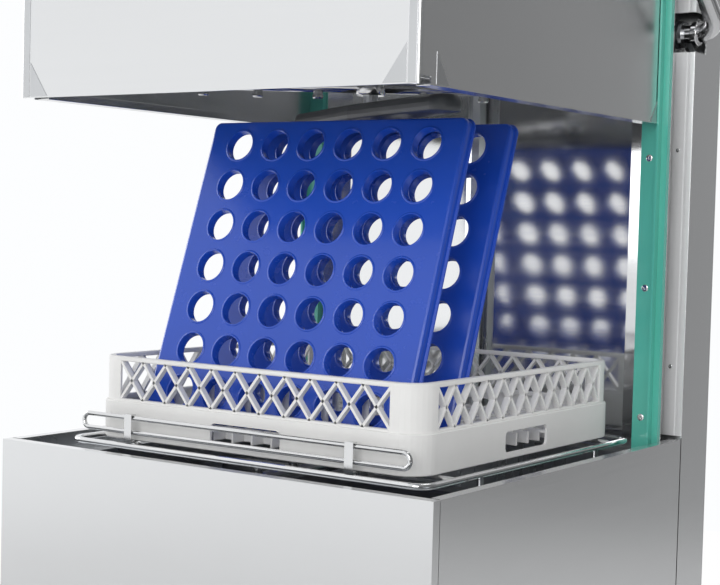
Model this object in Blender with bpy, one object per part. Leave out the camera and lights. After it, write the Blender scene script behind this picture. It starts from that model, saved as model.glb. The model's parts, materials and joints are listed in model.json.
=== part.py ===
"""Hood-type pass-through washer for glass racks, with its rack and two cup trays.

Metres, +Z up, X to the operator's right, Y to the back. The origin is the centre of the
footprint at floor level; RACK_Y is where the middle of the rack stands.
"""

import math

import bmesh
import bpy
from mathutils import Matrix, Vector

# --- driving dimensions -------------------------------------------------------------
SHEET = 0.002  # steel sheet
GAP = 0.0003  # between pieces that touch
WORK_HEIGHT = 0.850  # floor to the rim of the tub
TUB_WIDTH = 0.650
TUB_FRONT = 0.338  # rack centre to the front face
TUB_BACK = 0.308  # rack centre to the back end of the side panels
COLUMN_DEPTH = 0.090
COLUMN_WIDTH = 0.039
COLUMN_TOP = 0.650  # above the rim
CROSSBAR_HEIGHT = 0.060
PLINTH_TOP = 0.150
PLINTH_TUBE = 0.030
FOOT_RADIUS = 0.019
RIM_WIDTH = 0.014
GUTTER_DEPTH = 0.020
TANK_HALF = 0.262
TANK_DEPTH = 0.210
SUMP_HALF = 0.050
SUMP_DEPTH = 0.050

HOOD_WIDTH = 0.594
HOOD_FRONT = 0.343
HOOD_BACK = 0.262
HOOD_HEIGHT = 0.665
HOOD_DROP = 0.007  # the closed hood reaches this far below the rim
HOOD_TRAVEL = 0.440
HOOD_LIP = 0.022  # the folded edge along the bottom of the sides
HOOD_REAR_WALL = 0.105  # height of the wall that closes the hood's back below its top
HOOD_PASS = 0.003  # between the tub's rim and the closed hood's sides

WALL_Y = 0.300  # rack centre to the back wall of the chamber
WALL_HALF = 0.240
WALL_FLANGE_Y = 0.2720
STRIP_WIDTH = 0.038
STRIP_THICK = 0.0085
STRIP_RIB = 0.003
STRIP_CLEARANCE = 0.0008

PIVOT_Y = 0.332
PIVOT_HEIGHT = 0.562  # above the rim
HANDLE_TUBE = 0.0125
HANDLE_HALF = 0.350
HANDLE_REACH = 0.900
HANDLE_OPEN = math.radians(38.0)
HANDLE_SWING = math.radians(72.0)
HANDLE_BEND = 0.032
ROLLER_REACH = 0.3745
ROLLER_RADIUS = 0.009
RAIL_HALF = 0.020
BUSH_RADIUS = 0.0165
CRANK_REACH = 0.055
CRANK_NEAR = 0.010  # column's inner face to the crank
CRANK_THICK = 0.005
CRANK_WIDTH = 0.014
SPRING_LENGTH = 0.300
SPRING_DROP = 0.010  # spring's top hook below the crank's tip
SPRING_TURNS = 9
SPRING_COIL = 0.008
SPRING_WIRE = 0.002
WINDOW_HALF = 0.027  # the column's window, above and below the pivot

RACK_SIZE = 0.500
RACK_HEIGHT = 0.105
RACK_BAND = 0.048
RACK_STEP = 0.0025
RACK_WALL = 0.006
RACK_CORNER = 0.030
RACK_FLOOR = 0.026
RACK_LIFT = 0.004  # rack's underside above the rim
RACK_CELLS = 7
LATTICE_BAR = 0.0042
HAND_HOLD = 0.055  # half its width
PEG_HEIGHT = 0.062
PEG_PITCH = 0.0607
PEG_FOOT = 0.005
PEG_TIP = 0.0035

TRAY_WIDTH = 0.400
TRAY_LENGTH = 0.407
TRAY_DEPTH = 0.015
TRAY_WALL = 0.003
TRAY_LEAN = math.radians(19.0)
TRAY_CORNER = 0.010
TRAY_SPACING = 0.107
TRAYS = 2
TRAY_HOLE = 0.0205
TRAY_COLUMNS = 6
TRAY_ROWS = 7
TRAY_PITCH_X = 0.0590
TRAY_PITCH_Z = 0.0565
TRAY_TOP_MARGIN = 0.0345
TRAY_FOOT_Y = -0.2110  # foot of the front tray's front face

ARM_RADIUS = 0.235
SPINDLE = 0.010
WASH_ARM_THICK = 0.020
UPPER_ARM = 0.424  # underside of the upper wash arm above the rim
LOWER_ARM = -0.072
RINSE_BEARING = math.radians(35.0)  # how far the upper rinse arm is turned at rest
WASH_BEARING = math.radians(149.0)  # and the upper wash arm
HUB_LENGTH = 0.072
RINSE_RISE = 0.044  # rinse arm's centre above the wash arm's underside
RINSE_TUBE = 0.008
NOZZLE_PLACES = (0.070, 0.150, 0.222)  # from the hub along the rinse arm
FEED_TUBE = 0.014
FEED_BEND = 0.0165
FEED_Y = 0.281
FEED_TOP = 0.028  # centre of the upper run above the upper hub's joint
STANDPIPE_RADIUS = 0.013
DRAIN_PLACE = (0.0, -0.150)
PUMP = Vector((0.100, -0.040, 0.330))
CHAMBER_RADIUS = 0.066
PUMP_PIPE = 0.020
BOILER_PLACE = (-0.190, 0.130)
BOILER_RADIUS = 0.075
BOILER_HEIGHT = 0.330
GUIDE_WIRE = 0.004
FENCE_WIRE = 0.003
FENCE_Y = 0.268
FENCE_HALF = 0.250
FENCE_LOW = 0.017
FENCE_HIGH = 0.035
BRACKET_PLACE = 0.170
BRACKET_STRIP = 0.0015
FASCIA_HEIGHT = 0.100
FASCIA_BASE = 0.440
FASCIA_DEPTH = 0.012
BUTTON_TRAVEL = 0.003
BUTTON_PROUD = 0.0035
BUTTONS = {"power_button": (-0.235, 0.014), "program_button": (0.145, 0.012), "start_button": (0.235, 0.018)}
DISPLAY = (-0.090, 0.060)
DISPLAY_HALF = 0.022

# --- places worked out from them ----------------------------------------------------
RIM = WORK_HEIGHT
HALF = TUB_WIDTH / 2
COLUMN_FRONT = TUB_BACK + 0.003
COLUMN_BACK = COLUMN_FRONT + COLUMN_DEPTH
BACK = COLUMN_BACK + GAP + SHEET
HANDLE_FRONT = HANDLE_REACH * math.cos(HANDLE_OPEN) - PIVOT_Y + HANDLE_TUBE
RACK_Y = (HANDLE_FRONT - BACK) / 2
PIVOT_Z = RIM + PIVOT_HEIGHT
HOOD_BASE = RIM - HOOD_DROP + HOOD_TRAVEL
HOOD_HALF = HOOD_WIDTH / 2
COLUMN_IN = HALF - COLUMN_WIDTH
GUTTER = RIM - GUTTER_DEPTH
INSIDE = HALF - SHEET - GAP
TANK_FLOOR = GUTTER - TANK_DEPTH
SUMP_FLOOR = TANK_FLOOR - SUMP_DEPTH
SPRING_Y = PIVOT_Y + CRANK_REACH * math.cos(HANDLE_SWING / 2)
SPRING_TOP = PIVOT_Z - CRANK_REACH * math.sin(HANDLE_SWING / 2) - SPRING_DROP
UPPER_JOINT = RIM + UPPER_ARM + HUB_LENGTH  # end of the upper feed
LOWER_JOINT = RIM + LOWER_ARM - 0.012  # end of the lower feed
FEED_LEVEL = LOWER_JOINT - 0.060
STRAINER_Z = LOWER_JOINT - 0.040
FLANGE_END = HALF - RIM_WIDTH - 0.0015


# --- helpers ------------------------------------------------------------------------
def clear_scene():
    """Removes whatever the scene holds."""
    for item in list(bpy.data.objects):
        bpy.data.objects.remove(item, do_unlink=True)


def finish(name, colour, roughness, metallic):
    """A Principled material."""
    made = bpy.data.materials.new(name)
    made.use_nodes = True
    shader = made.node_tree.nodes["Principled BSDF"]
    shader.inputs["Base Color"].default_value = (*colour, 1.0)
    shader.inputs["Roughness"].default_value = roughness
    shader.inputs["Metallic"].default_value = metallic
    return made


def place(point):
    """Rack-centred (x, y, z) to the part's own frame."""
    return Vector((point[0], point[1] + RACK_Y, point[2]))


def add(name, bm, material=None):
    """Puts a bmesh in the scene as a named object."""
    bmesh.ops.recalc_face_normals(bm, faces=bm.faces)
    mesh = bpy.data.meshes.new(name)
    bm.to_mesh(mesh)
    bm.free()
    made = bpy.data.objects.new(name, mesh)
    bpy.context.scene.collection.objects.link(made)
    if material:
        mesh.materials.append(material)
    return made


def block(low, high, name="block", material=None):
    """A box between two corners, rack-centred."""
    low, high = place(low), place(high)
    bm = bmesh.new()
    bmesh.ops.create_cube(bm, size=1.0)
    size = high - low
    shift = (high + low) / 2
    fit = Matrix.Translation(shift) @ Matrix.Diagonal((*size, 1.0))
    bmesh.ops.transform(bm, matrix=fit, verts=bm.verts)
    return add(name, bm, material)


def prism(outline, low, high, axis="Z", name="prism", material=None):
    """A flat outline pushed along an axis: (x, y) along Z, (y, z) along X, (x, z) along Y."""
    corners = {
        "Z": lambda a, b, c: (a, b, c),
        "X": lambda a, b, c: (c, a, b),
        "Y": lambda a, b, c: (a, c, b),
    }[axis]
    bm = bmesh.new()
    near = [bm.verts.new(place(corners(a, b, low))) for a, b in outline]
    far = [bm.verts.new(place(corners(a, b, high))) for a, b in outline]
    bm.faces.new(near)
    bm.faces.new(far)
    for i in range(len(outline)):
        j = (i + 1) % len(outline)
        bm.faces.new((near[i], near[j], far[j], far[i]))
    return add(name, bm, material)


def turned(profile, centre, axis="Z", sides=16, name="turned", material=None):
    """A closed (radius, height) outline turned about an axis through centre."""
    bm = bmesh.new()
    rings = []
    for step in range(sides):
        angle = 2 * math.pi * step / sides
        ring = []
        for radius, height in profile:
            a, b = radius * math.cos(angle), radius * math.sin(angle)
            local = {"Z": (a, b, height), "X": (height, a, b), "Y": (b, height, a)}[axis]
            ring.append(bm.verts.new(place(Vector(centre) + Vector(local))))
        rings.append(ring)
    for step in range(sides):
        here, there = rings[step], rings[(step + 1) % sides]
        for i in range(len(profile)):
            j = (i + 1) % len(profile)
            bm.faces.new((here[i], here[j], there[j], there[i]))
    bmesh.ops.remove_doubles(bm, verts=bm.verts, dist=1e-6)
    return shaded(add(name, bm, material))


def rod(radius, low, high, centre, axis="Z", sides=16, name="rod", material=None):
    """A solid round bar from low to high along an axis through centre."""
    return turned([(0.0, low), (radius, low), (radius, high), (0.0, high)], centre, axis, sides,
                  name, material)


def ring(inner, outer, low, high, centre, axis="Z", sides=16, name="ring", material=None):
    """A round collar about an axis through centre."""
    profile = [(inner, low), (outer, low), (outer, high), (inner, high)]
    return turned(profile, centre, axis, sides, name, material)


def shaded(made, angle=35.0):
    """Smooth shading, kept sharp past an angle."""
    made.data.shade_smooth()
    made.data.set_sharp_from_angle(angle=math.radians(angle))
    return made


def rounded_path(points, radius, steps=5):
    """The points of a path with each inner corner turned into an arc."""
    points = [Vector(p) for p in points]
    path = [points[0]]
    for before, corner, after in zip(points, points[1:], points[2:]):
        into = (corner - before).normalized()
        out = (after - corner).normalized()
        half = into.angle(out) / 2
        reach = radius * math.tan(half)
        centre = corner + (out - into).normalized() * (radius / math.cos(half))
        start = corner - into * reach - centre
        normal = into.cross(out).normalized()
        for step in range(steps + 1):
            turn = Matrix.Rotation(2 * half * step / steps, 3, normal)
            path.append(centre + turn @ start)
    path.append(points[-1])
    return path


def tube(points, radius, name, material=None, bevel=2, cyclic=False):
    """A round bar along a path."""
    curve = bpy.data.curves.new(name, "CURVE")
    curve.dimensions = "3D"
    curve.bevel_depth = radius
    curve.bevel_resolution = bevel
    curve.use_fill_caps = True
    spline = curve.splines.new("POLY")
    spline.points.add(len(points) - 1)
    for knot, point in zip(spline.points, points):
        knot.co = (*place(point), 1.0)
    spline.use_cyclic_u = cyclic
    made = bpy.data.objects.new(name, curve)
    bpy.context.scene.collection.objects.link(made)
    graph = bpy.context.evaluated_depsgraph_get()
    mesh = bpy.data.meshes.new_from_object(made.evaluated_get(graph))
    bpy.data.objects.remove(made, do_unlink=True)
    bm = bmesh.new()
    bm.from_mesh(mesh)
    bmesh.ops.remove_doubles(bm, verts=bm.verts, dist=1e-6)
    return shaded(add(name, bm, material))


def combine(target, others, operation):
    """Joins the others to the target, or cuts them from it, and removes them."""
    for other in others:
        step = target.modifiers.new(operation, "BOOLEAN")
        step.operation = operation
        step.solver = "EXACT"
        step.object = other
    bpy.context.view_layer.update()
    graph = bpy.context.evaluated_depsgraph_get()
    made = bpy.data.meshes.new_from_object(target.evaluated_get(graph))
    made.name = target.name
    target.modifiers.clear()
    target.data = made
    for other in others:
        bpy.data.objects.remove(other, do_unlink=True)
    return target


def fuse(target, others):
    """Joins the others to the target."""
    return combine(target, others, "UNION")


def cut(target, others):
    """Cuts the others from the target."""
    return combine(target, others, "DIFFERENCE")


def gather(pieces):
    """Several separate cutters as one object, so that a pattern is cut in one step."""
    bm = bmesh.new()
    for piece in pieces:
        bm.from_mesh(piece.data)
        bpy.data.objects.remove(piece, do_unlink=True)
    return add("pattern", bm)


def set_origin(made, point):
    """Puts an object's origin on its joint axis and leaves its shape in place."""
    point = place(point)
    made.data.transform(Matrix.Translation(-point))
    made.location = point
    return made


def both_sides(build):
    """Runs a builder for the left (-1) and the right (+1) side."""
    return [build(side, label) for side, label in ((-1, "left"), (1, "right"))]


def span(side, near, far):
    """Low and high X of a stretch measured outward on one side."""
    return sorted((side * near, side * far))


# --- finishes -----------------------------------------------------------------------
clear_scene()
STEEL = finish("brushed_steel", (0.62, 0.63, 0.64), 0.28, 1.0)
CHROME = finish("polished_wire", (0.75, 0.75, 0.76), 0.12, 1.0)
TEAL = finish("teal_guide_plastic", (0.08, 0.42, 0.34), 0.45, 0.0)
BLUE = finish("blue_tray_plastic", (0.010, 0.045, 0.36), 0.25, 0.0)
PALE = finish("pale_rack_plastic", (0.66, 0.67, 0.68), 0.45, 0.0)
GREY = finish("dark_grey_plastic", (0.06, 0.065, 0.07), 0.4, 0.0)
CAST = finish("pump_casting", (0.10, 0.11, 0.12), 0.5, 0.0)
PAINT = finish("motor_paint", (0.16, 0.17, 0.18), 0.5, 0.3)
GLASS = finish("display_lens", (0.02, 0.03, 0.035), 0.12, 0.0)
LIGHT = finish("button_face", (0.55, 0.57, 0.58), 0.35, 0.0)


# --- base and cabinet ---------------------------------------------------------------
def build_base_frame():
    """A plinth of square tube with a middle bar, and a post at each corner under the tub."""
    low, high = PLINTH_TOP - PLINTH_TUBE, PLINTH_TOP
    outer = HALF - SHEET - 2 * GAP
    front, back = -TUB_FRONT + SHEET + 2 * GAP, COLUMN_BACK - GAP
    base = block((-outer, front, low), (outer, back, high), "base_frame", STEEL)
    inner = outer - PLINTH_TUBE
    bay = 0.015
    holes = [
        block((-inner, front + PLINTH_TUBE, low - 0.01), (-bay, back - PLINTH_TUBE, high + 0.01)),
        block((bay, front + PLINTH_TUBE, low - 0.01), (inner, back - PLINTH_TUBE, high + 0.01)),
    ]
    cut(base, [gather(holes)])
    top = GUTTER - SHEET - GAP
    post = 0.025
    posts = [
        block((side * outer - (post if side > 0 else 0), y, high - 0.002),
              (side * outer + (0 if side > 0 else post), y + post, top))
        for side in (-1, 1)
        for y in (-TUB_FRONT + FASCIA_DEPTH + GAP, TUB_BACK - SHEET - GAP - post)
    ]
    return fuse(base, posts)


def build_foot(side, y, label):
    """A levelling foot: a pad, its stem and the collar under the plinth."""
    x = side * (HALF - FOOT_RADIUS - 0.001)
    top = PLINTH_TOP - PLINTH_TUBE - GAP
    profile = [
        (0.0, 0.0), (FOOT_RADIUS, 0.0), (FOOT_RADIUS, 0.008), (FOOT_RADIUS * 0.7, 0.016),
        (0.013, 0.022), (0.013, 0.070), (0.019, 0.072), (0.019, top), (0.0, top),
    ]
    return turned(profile, (x, y, 0.0), sides=16, name=f"foot_{label}", material=STEEL)


def folded_panel(name, low_z, high_z, wrap, top_fold):
    """A front panel with its sides, and its top where asked, folded back."""
    y = -TUB_FRONT
    panel = block((-HALF, y, low_z), (HALF, y + SHEET, high_z), name, STEEL)
    folds = []
    for side in (-1, 1):
        low_x, high_x = span(side, HALF - SHEET, HALF)
        folds.append(block((low_x, y + 0.0005, low_z), (high_x, y + wrap, high_z)))
    if top_fold:
        folds.append(block((-HALF, y + 0.0005, high_z - SHEET), (HALF, y + RIM_WIDTH, high_z)))
    return fuse(panel, folds)


def build_cabinet():
    """The front, service, side and rear panels."""
    wrap = RIM_WIDTH - 0.001
    split = FASCIA_BASE + FASCIA_HEIGHT
    folded_panel("front_panel", split + GAP, RIM, wrap, True)
    folded_panel("service_panel", PLINTH_TOP + GAP, FASCIA_BASE - GAP, wrap, False)
    start = -TUB_FRONT + wrap + 0.001

    def side_panel(side, label):
        low_x, high_x = span(side, HALF - SHEET, HALF)
        skin = block((low_x, start, PLINTH_TOP + GAP), (high_x, TUB_BACK, RIM), f"side_panel_{label}", STEEL)
        low_x, high_x = span(side, HALF - RIM_WIDTH, HALF - 0.0005)
        fold = block((low_x, start + 0.003, RIM - SHEET), (high_x, TUB_BACK, RIM))
        return fuse(skin, [fold])

    both_sides(side_panel)
    low = PLINTH_TOP + GAP
    block((-HALF, COLUMN_BACK + GAP, low), (HALF, BACK, RIM + COLUMN_TOP - 0.100), "rear_panel", STEEL)


def build_tub():
    """The gutter that the hood closes into, the tank below it and the sump in its floor."""
    front, back = -TUB_FRONT + SHEET + GAP, TUB_BACK - GAP
    top = RIM - SHEET - GAP
    floor = GUTTER - TANK_DEPTH
    tub = block((-INSIDE, front, GUTTER - SHEET), (INSIDE, back, top), "tub", STEEL)
    fuse(tub, [
        block((-TANK_HALF - SHEET, -TANK_HALF - SHEET, floor - SHEET),
              (TANK_HALF + SHEET, TANK_HALF + SHEET, GUTTER - SHEET / 2)),
        block((-SUMP_HALF - SHEET, -SUMP_HALF - SHEET, floor - SUMP_DEPTH - SHEET),
              (SUMP_HALF + SHEET, SUMP_HALF + SHEET, floor - SHEET / 2)),
    ])
    return cut(tub, [
        block((-INSIDE + SHEET, front + SHEET, GUTTER), (INSIDE - SHEET, back - SHEET, top + 0.01)),
        block((-TANK_HALF, -TANK_HALF, floor), (TANK_HALF, TANK_HALF, GUTTER + 0.001)),
        block((-SUMP_HALF, -SUMP_HALF, floor - SUMP_DEPTH), (SUMP_HALF, SUMP_HALF, floor + 0.001)),
        rod(0.020 + GAP, -0.02, 0.02, (0.0, 0.0, floor - SUMP_DEPTH)),
        rod(FEED_TUBE + GAP, -0.01, 0.01, (0.0, FEED_Y, GUTTER)),
        rod(FEED_TUBE + GAP, -0.01, 0.01, (0.0, TANK_HALF, FEED_LEVEL), "Y"),
        rod(STANDPIPE_RADIUS + GAP, -0.02, 0.02, (*DRAIN_PLACE, floor)),
    ])


# --- columns and back of the chamber ------------------------------------------------
def build_column(side, label):
    """A square tube with the window that the handle comes out of and the spring's bracket."""
    low_x, high_x = span(side, COLUMN_IN, HALF)
    top = RIM + COLUMN_TOP
    column = block((low_x, COLUMN_FRONT, PLINTH_TOP + GAP), (high_x, COLUMN_BACK, top),
                   f"column_{label}", STEEL)
    low_w, high_w = span(side, COLUMN_IN + SHEET, HALF + 0.01)
    cut(column, [
        block((low_x + SHEET, COLUMN_FRONT + SHEET, PLINTH_TOP),
              (high_x - SHEET, COLUMN_BACK - SHEET, top + 0.01)),
        block((low_w, COLUMN_FRONT - 0.01, PIVOT_Z - WINDOW_HALF),
              (high_w, PIVOT_Y + 0.018, PIVOT_Z + WINDOW_HALF)),
        rod(BUSH_RADIUS + GAP, -0.01, 0.01, (side * COLUMN_IN, PIVOT_Y, PIVOT_Z), "X"),
    ])
    anchor = SPRING_TOP - SPRING_LENGTH - 0.002 - GAP
    bracket = block((low_x + SHEET / 2, SPRING_Y - 0.012, anchor - 0.003),
                    (high_x - SHEET / 2, COLUMN_BACK - SHEET / 2, anchor))
    return fuse(column, [bracket])


def build_bush(side, label):
    """The bush in the column's inner wall that carries the handle's end."""
    start = COLUMN_IN - 0.004
    profile = [
        (HANDLE_TUBE + GAP, side * start), (BUSH_RADIUS, side * start),
        (BUSH_RADIUS, side * (COLUMN_IN + SHEET + GAP)), (BUSH_RADIUS + 0.003,
                                                          side * (COLUMN_IN + SHEET + GAP)),
        (BUSH_RADIUS + 0.003, side * (COLUMN_IN + SHEET + 0.004)),
        (HANDLE_TUBE + GAP, side * (COLUMN_IN + SHEET + 0.004)),
    ]
    return turned(profile, (0.0, PIVOT_Y, PIVOT_Z), "X", 16, f"pivot_bush_{label}", GREY)


def build_column_cap(side, label):
    """The moulded cap that closes the column's top, with its plug inside."""
    low_x, high_x = span(side, COLUMN_IN, HALF)
    top = RIM + COLUMN_TOP
    cap = block((low_x, COLUMN_FRONT, top + GAP), (high_x, COLUMN_BACK, top + 0.010),
                f"column_cap_{label}", GREY)
    inset = SHEET + GAP
    plug = block((low_x + inset, COLUMN_FRONT + inset, top - 0.012),
                 (high_x - inset, COLUMN_BACK - inset, top + 0.002))
    return fuse(cap, [plug])


def build_rear_wall():
    """A folded sheet: a flat back between two slanted returns and two flanges."""
    fold_x = COLUMN_IN - 0.018
    outer = [
        (-FLANGE_END, WALL_FLANGE_Y), (-fold_x, WALL_FLANGE_Y), (-WALL_HALF, WALL_Y),
        (WALL_HALF, WALL_Y), (fold_x, WALL_FLANGE_Y), (FLANGE_END, WALL_FLANGE_Y),
    ]
    inner = [(x, y + SHEET) for x, y in reversed(outer)]
    return prism(outer + inner, GUTTER + GAP, RIM + COLUMN_TOP - GAP, "Z", "rear_wall", STEEL)


def build_guide_strip(side, label):
    """The plastic strip that seals and guides the hood's rear edge, with its rib outside the hood."""
    back = WALL_FLANGE_Y - GAP
    front = back - STRIP_THICK
    rib = HOOD_HALF + STRIP_CLEARANCE
    outer = FLANGE_END
    inner = outer - STRIP_WIDTH
    outline = [
        (inner, back), (inner, front), (rib, front), (rib, front - 0.011),
        (rib + STRIP_RIB, front - 0.011), (rib + STRIP_RIB, front), (outer, front), (outer, back),
    ]
    outline = [(side * x, y) for x, y in outline]
    return prism(outline, GUTTER + GAP, RIM + COLUMN_TOP - GAP, "Z", f"guide_strip_{label}", TEAL)


def build_rear_crossbar():
    """The beam that ties the columns together behind the chamber and stiffens the wall."""
    top = RIM + COLUMN_TOP
    low, high = WALL_Y + SHEET + GAP, COLUMN_BACK - GAP
    x = COLUMN_IN - GAP
    beam = block((-x, low, top - CROSSBAR_HEIGHT), (x, high, top - GAP), "rear_crossbar", STEEL)
    hollow = block((-x - 0.01, low + SHEET, top - CROSSBAR_HEIGHT + SHEET),
                   (x + 0.01, high - SHEET, top - SHEET - GAP))
    return cut(beam, [hollow])


# --- hood ---------------------------------------------------------------------------
def build_hood():
    """Front, sides, top and a short back; the sides are notched at the front to pass the tub's rim."""
    base, top = HOOD_BASE, HOOD_BASE + HOOD_HEIGHT
    hood = block((-HOOD_HALF, -HOOD_FRONT, base), (HOOD_HALF, HOOD_BACK, top), "hood_shell", STEEL)
    inner = HOOD_HALF - SHEET
    lip = HOOD_HALF - HOOD_LIP
    front = -HOOD_FRONT + SHEET
    cut(hood, [
        block((-inner, front, base + SHEET), (inner, HOOD_BACK - SHEET, top - SHEET)),
        block((-lip, front, base - 0.01), (lip, HOOD_BACK + 0.01, base + SHEET * 2)),
        block((-inner, HOOD_BACK - 2 * SHEET, base - 0.01),
              (inner, HOOD_BACK + 0.01, top - HOOD_REAR_WALL)),
        block((-HOOD_HALF - 0.01, front, base - 0.01),
              (HOOD_HALF + 0.01, -TUB_FRONT + RIM_WIDTH + HOOD_PASS, base + HOOD_DROP + SHEET)),
    ])
    return fuse(hood, [hood_rail(-1), hood_rail(1)])


def hood_rail(side):
    """The channel welded to the hood's side that the handle's roller lifts."""
    start = HOOD_HALF - SHEET / 2
    stop = HOOD_HALF + 0.018
    z = PIVOT_Z + ROLLER_REACH * math.sin(HANDLE_OPEN)
    near = PIVOT_Y - ROLLER_REACH - ROLLER_RADIUS - 0.012
    far = PIVOT_Y - ROLLER_REACH * math.cos(HANDLE_OPEN) + ROLLER_RADIUS + 0.012
    reach = RAIL_HALF + SHEET
    low_x, high_x = span(side, start, stop)
    rail = block((low_x, near, z - reach), (high_x, far, z + reach))
    low_x, high_x = span(side, HOOD_HALF + SHEET, stop + 0.01)
    return cut(rail, [block((low_x, near - 0.01, z - RAIL_HALF), (high_x, far + 0.01, z + RAIL_HALF))])


# --- handle -------------------------------------------------------------------------
def along_arm(reach, x):
    """A point on the handle's side arm, at a distance from the pivot."""
    return (x, PIVOT_Y - reach * math.cos(HANDLE_OPEN), PIVOT_Z + reach * math.sin(HANDLE_OPEN))


def build_handle():
    """The bent tube: a short axle in each column, two side arms and the grip across the front."""
    end = COLUMN_IN - 0.002
    corners = [
        (-end, PIVOT_Y, PIVOT_Z), (-HANDLE_HALF, PIVOT_Y, PIVOT_Z), along_arm(HANDLE_REACH, -HANDLE_HALF),
        along_arm(HANDLE_REACH, HANDLE_HALF), (HANDLE_HALF, PIVOT_Y, PIVOT_Z), (end, PIVOT_Y, PIVOT_Z),
    ]
    made = tube(rounded_path(corners, HANDLE_BEND, 4), HANDLE_TUBE, "handle_tube", STEEL)
    return set_origin(made, (0.0, PIVOT_Y, PIVOT_Z))


def build_roller(side, label):
    """The stud on the handle's arm and the roller on it."""
    _, y, z = along_arm(ROLLER_REACH, 0.0)
    start = HOOD_HALF + GAP + SHEET + 0.003
    stop = HOOD_HALF + GAP + 0.016
    end = HANDLE_HALF - HANDLE_TUBE - GAP
    profile = [
        (0.0, side * start), (ROLLER_RADIUS, side * start), (ROLLER_RADIUS, side * stop),
        (0.005, side * stop), (0.005, side * end), (0.0, side * end),
    ]
    made = turned(profile, (0.0, y, z), "X", 12, f"lift_roller_{label}", GREY)
    return set_origin(made, (0.0, PIVOT_Y, PIVOT_Z))


def build_crank(side, label):
    """The crank on the handle's end, inside the column, that the spring pulls."""
    swing = HANDLE_SWING / 2
    tip = (PIVOT_Y + CRANK_REACH * math.cos(swing), PIVOT_Z - CRANK_REACH * math.sin(swing))
    near = COLUMN_IN + CRANK_NEAR
    low_x, high_x = span(side, near, near + CRANK_THICK)
    width = CRANK_WIDTH / 2
    along = Vector((math.cos(swing), -math.sin(swing)))
    across = Vector((along.y, -along.x)) * width
    start = Vector((PIVOT_Y, PIVOT_Z)) + along * (HANDLE_TUBE + 0.002)
    stop = Vector(tip)
    outline = [start - across, stop - across, stop + along * width, stop + across, start + across]
    crank = prism([tuple(p) for p in outline], low_x, high_x, "X", f"crank_{label}", STEEL)
    hub = ring(HANDLE_TUBE + GAP, HANDLE_TUBE + 0.006, low_x, high_x, (0.0, PIVOT_Y, PIVOT_Z), "X")
    fuse(crank, [hub])
    cut(crank, [rod(0.003, low_x - 0.01, high_x + 0.01, (0.0, *tip), "X", 12)])
    return set_origin(crank, (0.0, PIVOT_Y, PIVOT_Z))


def build_spring(side, label):
    """The counterbalance spring, its upper end just under the crank's tip."""
    x = side * (COLUMN_IN + CRANK_NEAR + CRANK_THICK / 2)
    per_turn = 6
    steps = SPRING_TURNS * per_turn
    points = []
    for step in range(steps + 1):
        angle = 2 * math.pi * step / per_turn
        height = SPRING_TOP - SPRING_LENGTH * step / steps
        points.append((x + SPRING_COIL * math.cos(angle), SPRING_Y + SPRING_COIL * math.sin(angle), height))
    return tube(points, SPRING_WIRE, f"lift_spring_{label}", CHROME, bevel=0)


# --- spray system -------------------------------------------------------------------
def build_feed_pipe():
    """The welded pipe that feeds both hubs: out through the tank wall, up behind the rack and over."""
    top = UPPER_JOINT + FEED_TOP
    corners = [
        (0.0, 0.0, LOWER_JOINT), (0.0, 0.0, FEED_LEVEL), (0.0, FEED_Y, FEED_LEVEL),
        (0.0, FEED_Y, top), (0.0, 0.0, top), (0.0, 0.0, UPPER_JOINT),
    ]
    return tube(rounded_path(corners, FEED_BEND, 4), FEED_TUBE, "feed_pipe", STEEL)


def build_spindle(name, joint, direction):
    """A hub's fixed spindle: a collar at the feed, the shaft and the end cap that holds the arms."""
    length = HUB_LENGTH if direction < 0 else HUB_LENGTH + 0.003
    profile = [
        (0.0, joint + direction * GAP), (0.019, joint + direction * GAP), (0.019, joint + direction * 0.008),
        (SPINDLE, joint + direction * 0.008), (SPINDLE, joint + direction * length),
        (0.018, joint + direction * length), (0.018, joint + direction * (length + 0.0037)),
        (0.0, joint + direction * (length + 0.0037)),
    ]
    return turned(profile, (0.0, 0.0, 0.0), name=name, material=STEEL)


def build_wash_arm(name, underside, bearing):
    """A flat moulded arm, wide at the hub and at its ends' nozzles."""
    half_hub, half_tip = 0.034, 0.021
    outline = []
    for sign in (1, -1):
        outline.append((0.0, sign * -half_hub))
        for step in range(7):
            angle = math.radians(-90 + 30 * step)
            outline.append((sign * (ARM_RADIUS - half_tip + half_tip * math.cos(angle)),
                            sign * half_tip * math.sin(angle)))
    turned_outline = [turn_point(p, bearing) for p in outline]
    arm = prism(turned_outline, underside, underside + WASH_ARM_THICK, "Z", name, GREY)
    return finish_arm(arm, underside - 0.01, underside + WASH_ARM_THICK + 0.01)


def turn_point(point, bearing):
    """A flat point turned about the origin."""
    a, b = math.cos(bearing), math.sin(bearing)
    return (point[0] * a - point[1] * b, point[0] * b + point[1] * a)


def finish_arm(arm, low, high):
    """Bores an arm for its spindle and puts its origin on the spindle's axis."""
    cut(arm, [rod(SPINDLE + GAP, low, high, (0.0, 0.0, 0.0))])
    return set_origin(arm, (0.0, 0.0, low))


def build_rinse_arm(name, centre, bearing, direction):
    """A steel tube with stub nozzles that point at the rack."""
    ends = [(*turn_point((s * ARM_RADIUS, 0.0), bearing), centre) for s in (-1, 1)]
    arm = tube(ends, RINSE_TUBE, name, STEEL)
    hub = rod(0.020, centre - 0.011, centre + 0.011, (0.0, 0.0, 0.0))
    low, high = sorted((centre, centre + direction * 0.017))
    stubs = [
        rod(0.0065, low, high, (*turn_point((s * r, 0.0), bearing), 0.0), sides=8)
        for s in (-1, 1)
        for r in NOZZLE_PLACES
    ]
    fuse(arm, [hub, gather(stubs)])
    return finish_arm(arm, centre - 0.03, centre + 0.03)


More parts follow.
